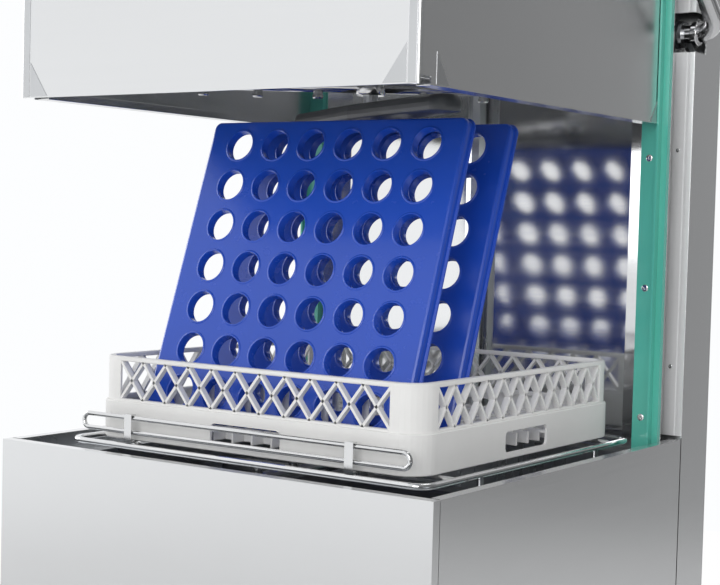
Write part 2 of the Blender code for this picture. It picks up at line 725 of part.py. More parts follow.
# --- tank fittings ------------------------------------------------------------------
def build_strainer(side, label):
    """A perforated tray over one half of the tank."""
    low_x, high_x = span(side, 0.055, TANK_HALF - GAP)
    y = TANK_HALF - GAP
    z = STRAINER_Z
    plate = block((low_x, -y, z), (high_x, y, z + 0.003), f"tank_strainer_{label}", STEEL)
    holes = []
    for column in range(3):
        for row in range(6):
            cx = side * (0.092 + 0.055 * column)
            cy = -0.190 + 0.076 * row
            holes.append(block((cx - 0.016, cy - 0.026, z - 0.01), (cx + 0.016, cy + 0.026, z + 0.01)))
    return cut(plate, [gather(holes)])


def build_strainer_basket():
    """The round basket that catches debris over the sump."""
    low, seat = SUMP_FLOOR + 0.012, TANK_FLOOR + GAP
    radius = SUMP_HALF - 0.006
    flange = SUMP_HALF + 0.014
    return turned(
        [(0.0, low), (radius - 0.008, low), (radius, seat), (flange, seat), (flange, seat + 0.003),
         (radius - 0.003, seat + 0.003), (radius - 0.011, low + 0.003), (0.0, low + 0.003)],
        (0.0, 0.0, 0.0), sides=20, name="strainer_basket", material=STEEL,
    )


def build_standpipe():
    """The overflow pipe in the tank's drain."""
    low, high = TANK_FLOOR - SHEET - 0.012, TANK_FLOOR + 0.100
    outer, inner = STANDPIPE_RADIUS, STANDPIPE_RADIUS - 0.003
    profile = [(0.0, low), (outer, low), (outer, high), (inner, high), (inner, high - 0.006), (0.0,
                                                                                               high - 0.006)]
    return turned(profile, (*DRAIN_PLACE, 0.0), sides=16, name="standpipe", material=GREY)


def build_tank_heater():
    """A hairpin heating element low in the tank, its tails through the front wall."""
    z = TANK_FLOOR + 0.030
    corners = [
        (-0.170, -TANK_HALF + GAP, z), (-0.170, 0.150, z), (-0.120, 0.150, z), (-0.120, -TANK_HALF + GAP, z),
    ]
    return tube(rounded_path(corners, 0.022), 0.005, "tank_heater", STEEL)


# --- works under the tub ------------------------------------------------------------
def build_pump():
    """The wash pump: a volute with its suction mouth, the impeller in it and the motor behind."""
    x, y, z = PUMP
    casing = rod(CHAMBER_RADIUS + 0.008, -0.030, 0.030, (x, y, z), "Y", 20, "pump_housing", CAST)
    outlet = rod(PUMP_PIPE, z, z + 0.110, (x + 0.050, y, 0.0))
    mouth = rod(0.024, -0.060, -0.020, (x, y, z), "Y", 16)
    fuse(casing, [outlet, mouth])
    cut(casing, [
        rod(CHAMBER_RADIUS, -0.022, 0.022, (x, y, z), "Y", 20),
        rod(0.019, -0.070, 0.0, (x, y, z), "Y"),
        rod(0.015, z, z + 0.120, (x + 0.048, y, 0.0)),
        rod(0.008 + GAP, 0.0, 0.040, (x, y, z), "Y", 16),
    ])
    impeller = rod(0.016, -0.012, 0.018, (x, y, z), "Y", 16, "pump_impeller", GREY)
    disc = rod(CHAMBER_RADIUS - 0.010, 0.010, 0.016, (x, y, z), "Y", 20)
    shaft = rod(0.008, 0.015, 0.048, (x, y, z), "Y", 16)
    blades = []
    for step in range(6):
        angle = math.radians(60 * step)
        blade = block((x + 0.010, y - 0.010, z - 0.0015),
                      (x + CHAMBER_RADIUS - 0.012, y + 0.012, z + 0.0015))
        centre = place((x, y, z))
        turn = Matrix.Rotation(angle, 4, "Y")
        blade.data.transform(Matrix.Translation(centre) @ turn @ Matrix.Translation(-centre))
        blades.append(blade)
    fuse(impeller, [disc, *blades])
    fuse(impeller, [shaft])
    set_origin(impeller, (x, y, z))
    motor = rod(0.058, 0.031, 0.180, (x, y, z), "Y", 20, "pump_motor", PAINT)
    foot = block((x - 0.045, y + 0.050, PLINTH_TOP + GAP), (x + 0.045, y + 0.160, z - 0.040))
    fuse(motor, [foot])
    cut(motor, [rod(0.008 + GAP, 0.020, 0.050, (x, y, z), "Y", 16)])


def build_suction_pipe():
    """From the sump down and forward to the pump's mouth."""
    x, y, z = PUMP
    start = y - 0.060 - GAP
    corners = [
        (0.0, 0.0, SUMP_FLOOR + 0.006), (0.0, 0.0, z + 0.120), (0.0, start - 0.060, z + 0.120),
        (x, start - 0.060, z), (x, start, z),
    ]
    return tube(rounded_path(corners, 0.026, 4), PUMP_PIPE, "suction_pipe", CAST)


def build_pressure_pipe():
    """From the pump's outlet to the foot of the feed pipe's upright."""
    x, y, z = PUMP
    level = TANK_FLOOR - 0.080
    corners = [
        (x + 0.050, y, z + 0.110 + GAP), (x + 0.050, y, level), (0.0, FEED_Y, level),
        (0.0, FEED_Y, FEED_LEVEL - FEED_TUBE - GAP),
    ]
    return tube(rounded_path(corners, 0.022, 4), FEED_TUBE, "pressure_pipe", CAST)


def build_boiler():
    """The rinse-water boiler on the plinth with its flanged heater."""
    x, y = BOILER_PLACE
    low = PLINTH_TOP + GAP
    high = low + BOILER_HEIGHT
    wide = BOILER_RADIUS + 0.005
    profile = [
        (0.0, low), (wide, low), (wide, low + 0.020), (BOILER_RADIUS, low + 0.022),
        (BOILER_RADIUS, high - 0.020), (BOILER_RADIUS - 0.015, high), (0.0, high),
    ]
    boiler = turned(profile, (x, y, 0.0), sides=20, name="rinse_boiler", material=STEEL)
    foot = block((x - 0.115, y - 0.020, low), (x + 0.200, y + 0.020, low + 0.004))
    heater = rod(0.030, -0.106, -0.060, (x, y, low + 0.080), "Y", 6)
    return fuse(boiler, [foot, heater])


def build_control_box():
    """The box of electrical controls on the right side panel."""
    return block((INSIDE - 0.130, -0.250, 0.200), (INSIDE, -0.090, 0.420), "control_box", GREY)


# --- fascia and buttons -------------------------------------------------------------
def build_fascia():
    """The control strip across the front, with its display and buttons."""
    low, high = FASCIA_BASE, FASCIA_BASE + FASCIA_HEIGHT
    y = -TUB_FRONT
    mid = (low + high) / 2
    left, right = DISPLAY
    lens_depth = 0.004
    fascia = block((-HALF, y, low), (HALF, y + FASCIA_DEPTH, high), "control_fascia", GREY)
    holes = [block((left - GAP, y - 0.01, mid - DISPLAY_HALF - GAP),
                   (right + GAP, y + lens_depth, mid + DISPLAY_HALF + GAP))]
    for x, radius in BUTTONS.values():
        holes.append(rod(radius + GAP, y - 0.01, y + FASCIA_DEPTH + 0.01, (x, 0.0, mid), "Y"))
    cut(fascia, holes)
    block((left, y, mid - DISPLAY_HALF), (right, y + lens_depth - GAP, mid + DISPLAY_HALF),
          "display_lens", GLASS)
    for name, (x, radius) in BUTTONS.items():
        rod(radius, y - BUTTON_PROUD, y + FASCIA_DEPTH - BUTTON_TRAVEL - 0.001, (x, 0.0, mid), "Y",
            16, name, LIGHT)


# --- rack guide and fence -----------------------------------------------------------
def build_rack_guide():
    """The polished wire frame across the tub that the rack slides on."""
    z = RIM + RACK_LIFT - GAP - GUIDE_WIRE
    half = TANK_HALF + 0.009
    back = WALL_FLANGE_Y - GAP - STRIP_THICK - GUIDE_WIRE - 0.002
    corners = [(-half, -half, z), (half, -half, z), (half, back, z), (-half, back, z)]
    loop = rounded_loop(corners, 0.020)
    guide = tube(loop, GUIDE_WIRE, "rack_guide", CHROME, bevel=1, cyclic=True)
    runners = [tube([(-half, y, z), (half, y, z)], GUIDE_WIRE, "runner", bevel=1) for y in (-0.205, 0.205)]
    legs = [
        tube([(x, y, z), (x, y, GUTTER + GAP)], GUIDE_WIRE, "leg", bevel=1)
        for x in (-half, half)
        for y in (-0.150, 0.150)
    ]
    return fuse(guide, runners + legs)


def rounded_loop(corners, radius, steps=4):
    """A closed path with rounded corners."""
    wrapped = [*corners, corners[0], corners[1]]
    path = rounded_path(wrapped, radius, steps)
    return path[1:-1]


def build_fence():
    """The oblong wire loop that keeps the rack from sliding forward."""
    low, high = RIM + FENCE_LOW, RIM + FENCE_HIGH
    y = -FENCE_Y
    corners = [(-FENCE_HALF, y, low), (FENCE_HALF, y, low), (FENCE_HALF, y, high), (-FENCE_HALF, y, high)]
    reach = (high - low) / 2 - 1e-4
    return tube(rounded_loop(corners, reach, 5), FENCE_WIRE, "rack_fence", CHROME, bevel=2, cyclic=True)


def build_fence_bracket(side, label):
    """The flat hook that clips the fence to the rack guide."""
    low_x, high_x = span(side, BRACKET_PLACE - 0.006, BRACKET_PLACE + 0.006)
    seat = RIM + RACK_LIFT
    strip = BRACKET_STRIP
    inner = -FENCE_Y - FENCE_WIRE - GAP
    front = inner - strip
    back = -(TANK_HALF + 0.009) + GUIDE_WIRE + GAP
    high = RIM + FENCE_HIGH + FENCE_WIRE + GAP + strip
    plate = block((low_x, front, seat), (high_x, inner, high), f"fence_bracket_{label}", CHROME)
    foot = block((low_x, front, seat), (high_x, back + 0.004, seat + strip))
    hook = block((low_x, front, high - strip), (high_x, -FENCE_Y + FENCE_WIRE + GAP, high))
    return fuse(plate, [foot, hook])


# --- rack and trays -----------------------------------------------------------------
def rounded_square(half, radius, steps=5):
    """The outline of a square with round corners."""
    outline = []
    for quarter in range(4):
        turn = math.pi / 2 * quarter
        centre = Vector((half - radius, half - radius))
        for step in range(steps + 1):
            angle = math.pi / 2 * step / steps
            point = centre + Vector((math.cos(angle), math.sin(angle))) * radius
            outline.append(turn_point(point, turn))
    return outline


def build_rack():
    """A square rack: a solid band, set-back lattice walls above it, and a floor with pegs."""
    base = RIM + RACK_LIFT
    top = base + RACK_HEIGHT
    half = RACK_SIZE / 2
    upper = half - RACK_STEP
    rack = prism(rounded_square(half, RACK_CORNER), base, base + RACK_BAND, "Z", "dish_rack", PALE)
    fuse(rack, [prism(rounded_square(upper, RACK_CORNER - 0.004), base + RACK_BAND - 0.001, top)])
    inner = upper - RACK_WALL
    cut(rack, [
        prism(rounded_square(inner, RACK_CORNER - 0.010), base + RACK_FLOOR, top + 0.01),
        prism(rounded_square(inner, RACK_CORNER - 0.010), base - 0.01, base + RACK_FLOOR - 0.005),
    ])
    cut(rack, [gather(floor_cells(inner - 0.012, base))])
    cut(rack, [gather(lattice_cutters(upper, base + RACK_BAND + 0.004, top - 0.009))])
    cut(rack, [gather(hand_holds(half, base))])
    return fuse(rack, build_pegs(base + RACK_FLOOR))


def floor_cells(reach, base):
    """The openings in the rack's floor, between bars that run under the pegs."""
    rows, bar = 4, 0.005
    row_pitch = 2 * reach / rows
    cells = []
    for column in range(-4, 4):
        left = max(PEG_PITCH * column + bar, -reach)
        right = min(PEG_PITCH * (column + 1) - bar, reach)
        for row in range(rows):
            low = -reach + row_pitch * row + bar
            high = low + row_pitch - 2 * bar
            cells.append(block((left, low, base), (right, high, base + RACK_FLOOR + 0.01)))
    return cells


def lattice_cutters(outer, low, high):
    """Triangles and diamonds that leave crossing bars, on all four walls."""
    bar = LATTICE_BAR
    reach = outer - 0.036
    pitch = 2 * reach / RACK_CELLS
    middle = (low + high) / 2
    rise = (high - low) / 2
    slope = math.hypot(pitch / 2, rise)
    inset_x = bar / 2 * slope / rise
    inset_z = bar / 2 * slope / (pitch / 2)
    shapes = []
    for cell in range(RACK_CELLS + 1):
        x = -reach + pitch * cell
        left = x - pitch / 2 + inset_x if cell > 0 else x
        right = x + pitch / 2 - inset_x if cell < RACK_CELLS else x
        shapes.append([(left, middle), (x, middle - rise + inset_z), (right, middle), (x,
                                                                                       middle + rise - inset_z)])
        if cell == RACK_CELLS:
            continue
        shift = inset_x
        for side in (-1, 1):
            edge = middle + side * rise
            shapes.append([(x + shift, edge), (x + pitch - shift, edge), (x + pitch / 2,
                                                                          middle + side * inset_z)])
    pieces = []
    for outline in shapes:
        clean = [p for i, p in enumerate(outline) if p not in outline[:i]]
        for axis in ("X", "Y"):
            for side in (-1, 1):
                low_side, high_side = sorted((side * (outer - 0.030), side * (outer + 0.010)))
                pieces.append(prism(clean, low_side, high_side, axis))
    return pieces


def hand_holds(half, base):
    """One hand-hold in the middle of each side of the band."""
    low, high = base + 0.006, base + RACK_FLOOR + 0.010
    pieces = []
    for side in (-1, 1):
        inner, outer = sorted((side * (half - 0.020), side * (half + 0.010)))
        pieces.append(block((-HAND_HOLD, inner, low), (HAND_HOLD, outer, high)))
        pieces.append(block((inner, -HAND_HOLD, low), (outer, HAND_HOLD, high)))
    return pieces


def build_pegs(floor):
    """Rows of tapered pegs behind each tray."""
    low, high = floor - 0.004, floor + PEG_HEIGHT
    profile = [(0.0, low), (PEG_FOOT, low), (PEG_TIP, high), (0.0, high)]
    return [
        turned(profile, (PEG_PITCH * column, peg_row(row), 0.0), sides=8, name="peg")
        for row in range(TRAYS)
        for column in range(-3, 4)
    ]


def peg_row(row):
    """Y of the pegs that the tray's back rests on."""
    back = TRAY_FOOT_Y + TRAY_DEPTH / math.cos(TRAY_LEAN) + PEG_HEIGHT * math.tan(TRAY_LEAN)
    return back + TRAY_SPACING * row + PEG_TIP + 2 * GAP


def build_tray(row, name):
    """A shallow moulded tray with round cup holes, leaning on its row of pegs."""
    half = TRAY_WIDTH / 2
    corner = TRAY_CORNER
    x, high = half - corner, TRAY_LENGTH - corner
    outline = []
    for quarter, (cx, cz) in enumerate(((x, high), (-x, high), (-x, corner), (x, corner))):
        for step in range(4):
            angle = math.pi / 2 * quarter + math.pi / 6 * step
            outline.append((cx + corner * math.cos(angle), cz + corner * math.sin(angle)))
    tray = prism(outline, 0.0, TRAY_DEPTH, "Y", name, BLUE)
    wall = TRAY_WALL
    narrow, short = (half - wall) / half, (TRAY_LENGTH - 2 * wall) / TRAY_LENGTH
    inner = [(x * narrow, wall + z * short) for x, z in outline]
    pocket = prism(inner, wall, TRAY_DEPTH + 0.01, "Y")
    holes = []
    for column in range(TRAY_COLUMNS):
        for line in range(TRAY_ROWS):
            x = TRAY_PITCH_X * (column - (TRAY_COLUMNS - 1) / 2)
            z = TRAY_LENGTH - TRAY_TOP_MARGIN - TRAY_PITCH_Z * line
            holes.append(rod(TRAY_HOLE, -0.01, 0.05, (x, 0.0, z), "Y", 10))
    cut(tray, [pocket])
    cut(tray, [gather(holes)])
    floor = RIM + RACK_LIFT + RACK_FLOOR + GAP + math.sin(TRAY_LEAN) * TRAY_DEPTH
    foot = place((0.0, 0.0, 0.0))
    lean = Matrix.Rotation(-TRAY_LEAN, 4, "X")
    goal = place((0.0, TRAY_FOOT_Y + TRAY_SPACING * row, floor))
    tray.data.transform(Matrix.Translation(goal) @ lean @ Matrix.Translation(-foot))
    return tray


# --- build --------------------------------------------------------------------------
build_base_frame()
for row_label, foot_y in (("front", -TUB_FRONT + 0.060), ("rear", COLUMN_BACK - 0.060)):
    for foot_side, side_label in ((-1, "left"), (1, "right")):
        build_foot(foot_side, foot_y, f"{row_label}_{side_label}")
build_cabinet()
build_tub()
for builder in (build_column, build_bush, build_column_cap, build_guide_strip, build_roller,
                build_crank, build_spring, build_strainer, build_fence_bracket):
    both_sides(builder)
build_rear_wall()
build_rear_crossbar()
build_hood()
build_handle()
build_feed_pipe()
build_spindle("upper_spindle", UPPER_JOINT, -1)
build_spindle("lower_spindle", LOWER_JOINT, 1)
build_wash_arm("upper_wash_arm", RIM + UPPER_ARM, WASH_BEARING)
build_rinse_arm("upper_rinse_arm", RIM + UPPER_ARM + RINSE_RISE, RINSE_BEARING, -1)
build_wash_arm("lower_wash_arm", RIM + LOWER_ARM, 0.0)
build_rinse_arm("lower_rinse_arm", RIM + LOWER_ARM + RINSE_RISE, math.pi / 2, 1)
build_strainer_basket()
build_standpipe()
build_tank_heater()
build_pump()
build_suction_pipe()
build_pressure_pipe()
build_boiler()
build_control_box()
build_fascia()
build_rack_guide()
build_fence()
build_rack()
for tray_row, tray_name in enumerate(("front_tray", "back_tray")):
    build_tray(tray_row, tray_name)
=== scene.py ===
"""The looks of a hood-type glass washer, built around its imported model."""

import json
import logging
import math
from collections.abc import Iterable, Sequence
from dataclasses import dataclass
from enum import Enum

import bmesh
import bpy
from mathutils import Matrix, Vector

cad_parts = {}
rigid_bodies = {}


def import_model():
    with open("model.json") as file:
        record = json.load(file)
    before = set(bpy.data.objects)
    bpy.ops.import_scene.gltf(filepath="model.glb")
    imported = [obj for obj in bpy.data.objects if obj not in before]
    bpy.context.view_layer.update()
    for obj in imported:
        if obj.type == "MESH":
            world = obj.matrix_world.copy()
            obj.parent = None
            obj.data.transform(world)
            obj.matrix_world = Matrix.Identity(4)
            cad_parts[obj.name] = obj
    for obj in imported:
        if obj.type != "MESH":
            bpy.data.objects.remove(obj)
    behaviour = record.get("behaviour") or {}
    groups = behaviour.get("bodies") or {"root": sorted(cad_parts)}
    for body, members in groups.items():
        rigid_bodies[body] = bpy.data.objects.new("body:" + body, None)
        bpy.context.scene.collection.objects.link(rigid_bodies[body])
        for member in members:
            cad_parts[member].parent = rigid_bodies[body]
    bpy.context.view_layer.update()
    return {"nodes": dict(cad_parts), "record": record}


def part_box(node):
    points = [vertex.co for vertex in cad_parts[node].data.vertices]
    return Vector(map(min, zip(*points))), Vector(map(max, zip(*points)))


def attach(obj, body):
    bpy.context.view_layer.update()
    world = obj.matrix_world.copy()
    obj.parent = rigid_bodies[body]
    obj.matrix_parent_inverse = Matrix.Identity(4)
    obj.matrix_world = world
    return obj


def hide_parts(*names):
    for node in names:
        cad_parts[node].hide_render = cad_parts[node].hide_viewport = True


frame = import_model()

LOG = logging.getLogger("glass_washer")
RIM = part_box("tub")[1].z + 0.0023
MIDDLE_Y = (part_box("dish_rack")[0].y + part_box("dish_rack")[1].y) / 2


class Side(Enum):
    """Which side of the machine a piece is on, as a sign along X."""

    LEFT = -1
    RIGHT = 1

    @property
    def label(self) -> str:
        """The side's name in lower case."""
        return self.name.lower()


# --- nodes ---------------------------------------------------------------------------
def add_node(tree: bpy.types.NodeTree, kind: str, settings: dict | None = None,
             values: dict | None = None) -> bpy.types.Node:
    """Adds one node to a tree.

    Args:
        tree: a shader or a geometry tree.
        kind: the node's type name.
        settings: attributes of the node, set first. "stops" holds a ramp's (place, grey) pairs.
        values: what goes into its sockets, by name or number: a value, a Wire or a socket.

    Returns:
        The node.
    """
    node = tree.nodes.new(kind)
    for name, value in (settings or {}).items():
        if name == "stops":
            ramp = node.color_ramp
            for spot, (at, grey) in enumerate(value):
                stop = ramp.elements[spot] if spot < 2 else ramp.elements.new(at)
                stop.position = at
                stop.color = (grey, grey, grey, 1.0)
        else:
            setattr(node, name, value)
    for name, value in (values or {}).items():
        socket = node.inputs[name]
        source = value.socket if isinstance(value, Wire) else value
        if isinstance(source, bpy.types.NodeSocket):
            tree.links.new(source, socket)
        else:
            socket.default_value = source
    return node


class Wire:
    """A number coming out of a node, with which sums can be written."""

    def __init__(self, tree: bpy.types.NodeTree, socket: bpy.types.NodeSocket) -> None:
        """Keeps the socket and the tree that it is in."""
        self.tree = tree
        self.socket = socket

    def math(self, operation: str, first: "Wire | float", second: "Wire | float") -> "Wire":
        """Adds a Math node for one operation on two values."""
        node = add_node(self.tree, "ShaderNodeMath", {"operation": operation}, {0: first, 1: second})
        return Wire(self.tree, node.outputs[0])

    def __add__(self, other: "Wire | float") -> "Wire":
        """self + other"""
        return self.math("ADD", self, other)

    def __sub__(self, other: "Wire | float") -> "Wire":
        """self - other"""
        return self.math("SUBTRACT", self, other)

    def __rsub__(self, other: "Wire | float") -> "Wire":
        """other - self"""
        return self.math("SUBTRACT", other, self)

    def __mul__(self, other: "Wire | float") -> "Wire":
        """self * other"""
        return self.math("MULTIPLY", self, other)

    __radd__ = __add__
    __rmul__ = __mul__


Colour = tuple[float, float, float]


class Recipe:
    """A material in the making: its tree, its shader and the patterns that feed it."""

    def __init__(self, name: str) -> None:
        """Starts an empty Principled material."""
        self.material = bpy.data.materials.new(name)
        self.material.use_nodes = True
        self.tree = self.material.node_tree
        self.shader = self.tree.nodes["Principled BSDF"]
        self.place = add_node(self.tree, "ShaderNodeTexCoord").outputs["Object"]

    def noise(self, stretch: Colour, detail: float = 3.0) -> Wire:
        """Noise, about 0.5, with its grain stretched along the axes of small scale."""
        spot = add_node(self.tree, "ShaderNodeMapping", {}, {"Vector": self.place, "Scale": stretch})
        node = add_node(self.tree, "ShaderNodeTexNoise", {},
                        {"Vector": spot.outputs[0], "Scale": 1.0, "Detail": detail})
        return Wire(self.tree, node.outputs["Fac"])

    def bump(self, height: Wire, strength: float, distance: float) -> None:
        """Feeds a height to the shader's normal."""
        node = add_node(self.tree, "ShaderNodeBump", {},
                        {"Height": height, "Strength": strength, "Distance": distance})
        self.tree.links.new(node.outputs[0], self.shader.inputs["Normal"])

    def tint(self, low: Colour, high: Colour, share: Wire) -> None:
        """Mixes two colours by a share and feeds the base colour."""
        node = add_node(self.tree, "ShaderNodeMix", {"data_type": "RGBA"}, {0: share})
        node.inputs[6].default_value = (*low, 1.0)
        node.inputs[7].default_value = (*high, 1.0)
        self.tree.links.new(node.outputs[2], self.shader.inputs["Base Color"])

    def feed(self, socket: str, value: Wire) -> None:
        """Feeds a pattern to one of the shader's sockets."""
        self.tree.links.new(value.socket, self.shader.inputs[socket])

    def fixed(self, **values: float) -> None:
        """Sets the shader's own sockets; an underscore in a name stands for a space."""
        for name, value in values.items():
            self.shader.inputs[name.replace("_", " ")].default_value = value


@dataclass(frozen=True)
class BrushedSteel:
    """Stainless sheet with a fine linear grain, faint clouding and wiped marks."""

    name: str
    dark: Colour = (0.72, 0.725, 0.73)
    light: Colour = (0.76, 0.765, 0.77)
    roughness: float = 0.24
    grain: Colour = (2.0, 2.0, 420.0)
    metal: float = 1.0

    def build(self) -> bpy.types.Material:
        """Makes the material."""
        mix = Recipe(self.name)
        grain = mix.noise(self.grain, 1.0)
        cloud = mix.noise((1.6, 1.6, 1.6), 2.0)
        wipe = mix.noise((5.0, 5.0, 9.0), 2.0)
        mix.tint(self.dark, self.light, cloud * 0.6 + grain * 0.4)
        mix.feed("Roughness", grain * 0.05 + wipe * 0.05 + (self.roughness - 0.05))
        mix.bump(grain, 0.006, 0.00005)
        mix.fixed(Metallic=self.metal)
        return mix.material


@dataclass(frozen=True)
class PolishedSteel:
    """Bright drawn wire or tube, with soft handling marks."""

    name: str
    colour: Colour = (0.74, 0.745, 0.75)
    roughness: float = 0.10

    def build(self) -> bpy.types.Material:
        """Makes the material."""
        mix = Recipe(self.name)
        haze = mix.noise((14.0, 14.0, 14.0), 5.0)
        scratch = mix.noise((240.0, 240.0, 60.0), 2.0)
        low = tuple(0.88 * c for c in self.colour)
        mix.tint(low, self.colour, haze)
        mix.feed("Roughness", haze * 0.10 + scratch * 0.05 + (self.roughness - 0.06))
        mix.bump(scratch, 0.04, 0.0002)
        mix.fixed(Metallic=1.0)
        return mix.material


@dataclass(frozen=True)
class MouldedPlastic:
    """Moulded plastic with a fine skin, slight flow tint and scuffing."""

    name: str
    colour: Colour
    roughness: float = 0.45
    skin: float = 0.12
    coat: float = 0.0

    def build(self) -> bpy.types.Material:
        """Makes the material."""
        mix = Recipe(self.name)
        flow = mix.noise((7.0, 7.0, 7.0), 4.0)
        skin = mix.noise((900.0, 900.0, 900.0), 1.0)
        scuff = mix.noise((60.0, 45.0, 80.0), 3.0)
        low = tuple(0.90 * c for c in self.colour)
        high = tuple(min(1.0, 1.08 * c) for c in self.colour)
        mix.tint(low, high, flow * 0.8 + scuff * 0.2)
        mix.feed("Roughness", scuff * 0.08 + flow * 0.06 + (self.roughness - 0.07))
        mix.bump(skin, self.skin, 0.0003)
        mix.fixed(Metallic=0.0, Coat_Weight=self.coat, Coat_Roughness=0.08)
        return mix.material


@dataclass(frozen=True)
class PaintedCasting:
    """Stove enamel over a sand casting: an orange-peel skin on a coarse grain."""

    name: str
    colour: Colour

    def build(self) -> bpy.types.Material:
        """Makes the material."""
        mix = Recipe(self.name)
        peel = mix.noise((260.0, 260.0, 260.0), 3.0)
        dust = mix.noise((10.0, 10.0, 5.0), 5.0)
        high = tuple(1.35 * c for c in self.colour)
        mix.tint(self.colour, high, dust)
        mix.feed("Roughness", dust * 0.25 + 0.32)
        mix.bump(peel, 0.25, 0.0008)
        mix.fixed(Metallic=0.25)
        return mix.material


FINISHES = {
    "brushed_panel": BrushedSteel("brushed_panel_steel"),
    "inner_steel": BrushedSteel("inner_steel", (0.58, 0.595, 0.615), (0.66, 0.675, 0.695), 0.28, (400.0, 2.0, 2.0)),
    # Column cover: a painted reflection. The light colour and low metal make the steel look as bright as a reflection
    # would.
    "cover_steel": BrushedSteel("bright_cover_steel", (0.86, 0.865, 0.87), (0.92, 0.925, 0.93), 0.30,
                                (2.0, 2.0, 300.0), 0.35),
    "wall_steel": BrushedSteel("chamber_wall_steel", (0.78, 0.785, 0.79), (0.82, 0.825, 0.83), 0.10, (2.0, 2.0, 500.0)),
    "polished_tube": PolishedSteel("polished_tube_steel", (0.70, 0.70, 0.71), 0.16),
    "polished_wire": PolishedSteel("polished_wire_steel"),
    "teal_plastic": MouldedPlastic("teal_strip_plastic", (0.10, 0.50, 0.40), 0.30, 0.04, 0.25),
    "blue_plastic": MouldedPlastic("blue_tray_plastic", (0.012, 0.075, 0.52), 0.26, 0.02, 0.22),
    "pale_plastic": MouldedPlastic("pale_rack_plastic", (0.86, 0.855, 0.84), 0.42, 0.06),
    "dark_plastic": MouldedPlastic("dark_grey_plastic", (0.055, 0.060, 0.066), 0.40),
    "black_moulding": MouldedPlastic("black_moulding", (0.030, 0.031, 0.034), 0.50),
    "motor_paint": PaintedCasting("motor_enamel", (0.12, 0.13, 0.14)),
    "display_lens": MouldedPlastic("display_lens", (0.012, 0.018, 0.022), 0.16, 0.01, 1.0),
    "button_face": MouldedPlastic("button_plastic", (0.50, 0.52, 0.53), 0.34, 0.06, 0.2),
    "weld_dressing": PolishedSteel("dressed_weld_steel", (0.60, 0.61, 0.62), 0.30),
}
MATERIALS = {slot: finish.build() for slot, finish in FINISHES.items()}


# --- shapes --------------------------------------------------------------------------
def at(x: float, y: float, z: float) -> Vector:
    """A point given from the rack's middle and the tub's rim."""
    return Vector((x, y + MIDDLE_Y, z + RIM))


FLAT_AREA = 1.5e-4


def flatten(mesh: bpy.types.Mesh) -> None:
    """Shades large faces flat, so that the normals of their eased edges don't bleed over them."""
    for face in mesh.polygons:
        if face.area > FLAT_AREA:
            face.use_smooth = False


def make_object(name: str, bm: bmesh.types.BMesh, slot: str, angle: float = 38.0) -> bpy.types.Object:
    """Turns a bmesh into a smooth-shaded object with its finish.

    Args:
        name: the object's name.
        bm: the shape, in the frame's own place; it is freed.
        slot: the finish.
        angle: edges sharper than this stay sharp, in degrees.

    Returns:
        The object.
    """
    bmesh.ops.remove_doubles(bm, verts=bm.verts, dist=1e-6)
    bmesh.ops.recalc_face_normals(bm, faces=bm.faces)
    mesh = bpy.data.meshes.new(name)
    bm.to_mesh(mesh)
    bm.free()
    mesh.materials.append(MATERIALS[slot])
    mesh.shade_smooth()
    mesh.set_sharp_from_angle(angle=math.radians(angle))
    flatten(mesh)
    made = bpy.data.objects.new(name, mesh)
    bpy.context.scene.collection.objects.link(made)
    return made


def loft(bm: bmesh.types.BMesh, rings: Sequence[Sequence[Vector]], around: bool = False) -> None:
    """Skins a row of equal rings; around joins the last to the first, else both ends are capped."""
    rows = [[bm.verts.new(p) for p in ring] for ring in rings]
    count = len(rows[0])
    pairs = list(zip(rows, rows[1:])) + ([(rows[-1], rows[0])] if around else [])
    for near, far in pairs:
        for i in range(count):
            j = (i + 1) % count
            bm.faces.new((near[i], near[j], far[j], far[i]))
    if not around:
        bm.faces.new(rows[0])
        bm.faces.new(rows[-1])


def bar(bm: bmesh.types.BMesh, low: Vector, high: Vector, edge: float = 0.0008) -> None:
    """A box between two corners with its edges eased."""
    made = bmesh.ops.create_cube(bm, size=1.0)["verts"]
    size = [max(b - a, 1e-5) for a, b in zip(low, high)]
    bmesh.ops.transform(bm, matrix=Matrix.Translation((low + high) / 2) @ Matrix.Diagonal((*size, 1.0)), verts=made)
    edges = {e for v in made for e in v.link_edges}
    bmesh.ops.bevel(bm, geom=list(edges), offset=min(edge, min(size) * 0.4), segments=2, affect="EDGES", profile=0.5)


def lathe(bm: bmesh.types.BMesh, profile: Sequence[tuple[float, float]], centre: Vector,
          along: Vector, sides: int = 28) -> None:
    """Turns a (radius, distance) outline, from axis to axis, about a line through centre."""
    turn = Vector((0, 0, 1)).rotation_difference(along.normalized()).to_matrix()
    rings = []
    for radius, height in profile:
        ring = []
        for step in range(sides):
            angle = 2 * math.pi * step / sides
            spot = Vector((radius * math.cos(angle), radius * math.sin(angle), height))
            ring.append(centre + turn @ spot)
        rings.append(ring)
    loft(bm, rings)


def sweep(bm: bmesh.types.BMesh, path: Sequence[Vector], radius: float, sides: int = 16, loop: bool = False) -> None:
    """A round bar along a path, its frame carried without twist."""
    count = len(path)
    ways = []
    for i in range(count):
        before = path[i - 1] if loop or i > 0 else path[i]
        after = path[(i + 1) % count] if loop or i < count - 1 else path[i]
        ways.append((after - before).normalized())
    up = ways[0].orthogonal().normalized()
    rings = []
    for i, (point, way) in enumerate(zip(path, ways)):
        if i:
            up = ways[i - 1].rotation_difference(way) @ up
        up = (up - way * up.dot(way)).normalized()
        side = way.cross(up)
        angles = [2 * math.pi * step / sides for step in range(sides)]
        rings.append([point + (up * math.cos(a) + side * math.sin(a)) * radius for a in angles])
    loft(bm, rings, loop)


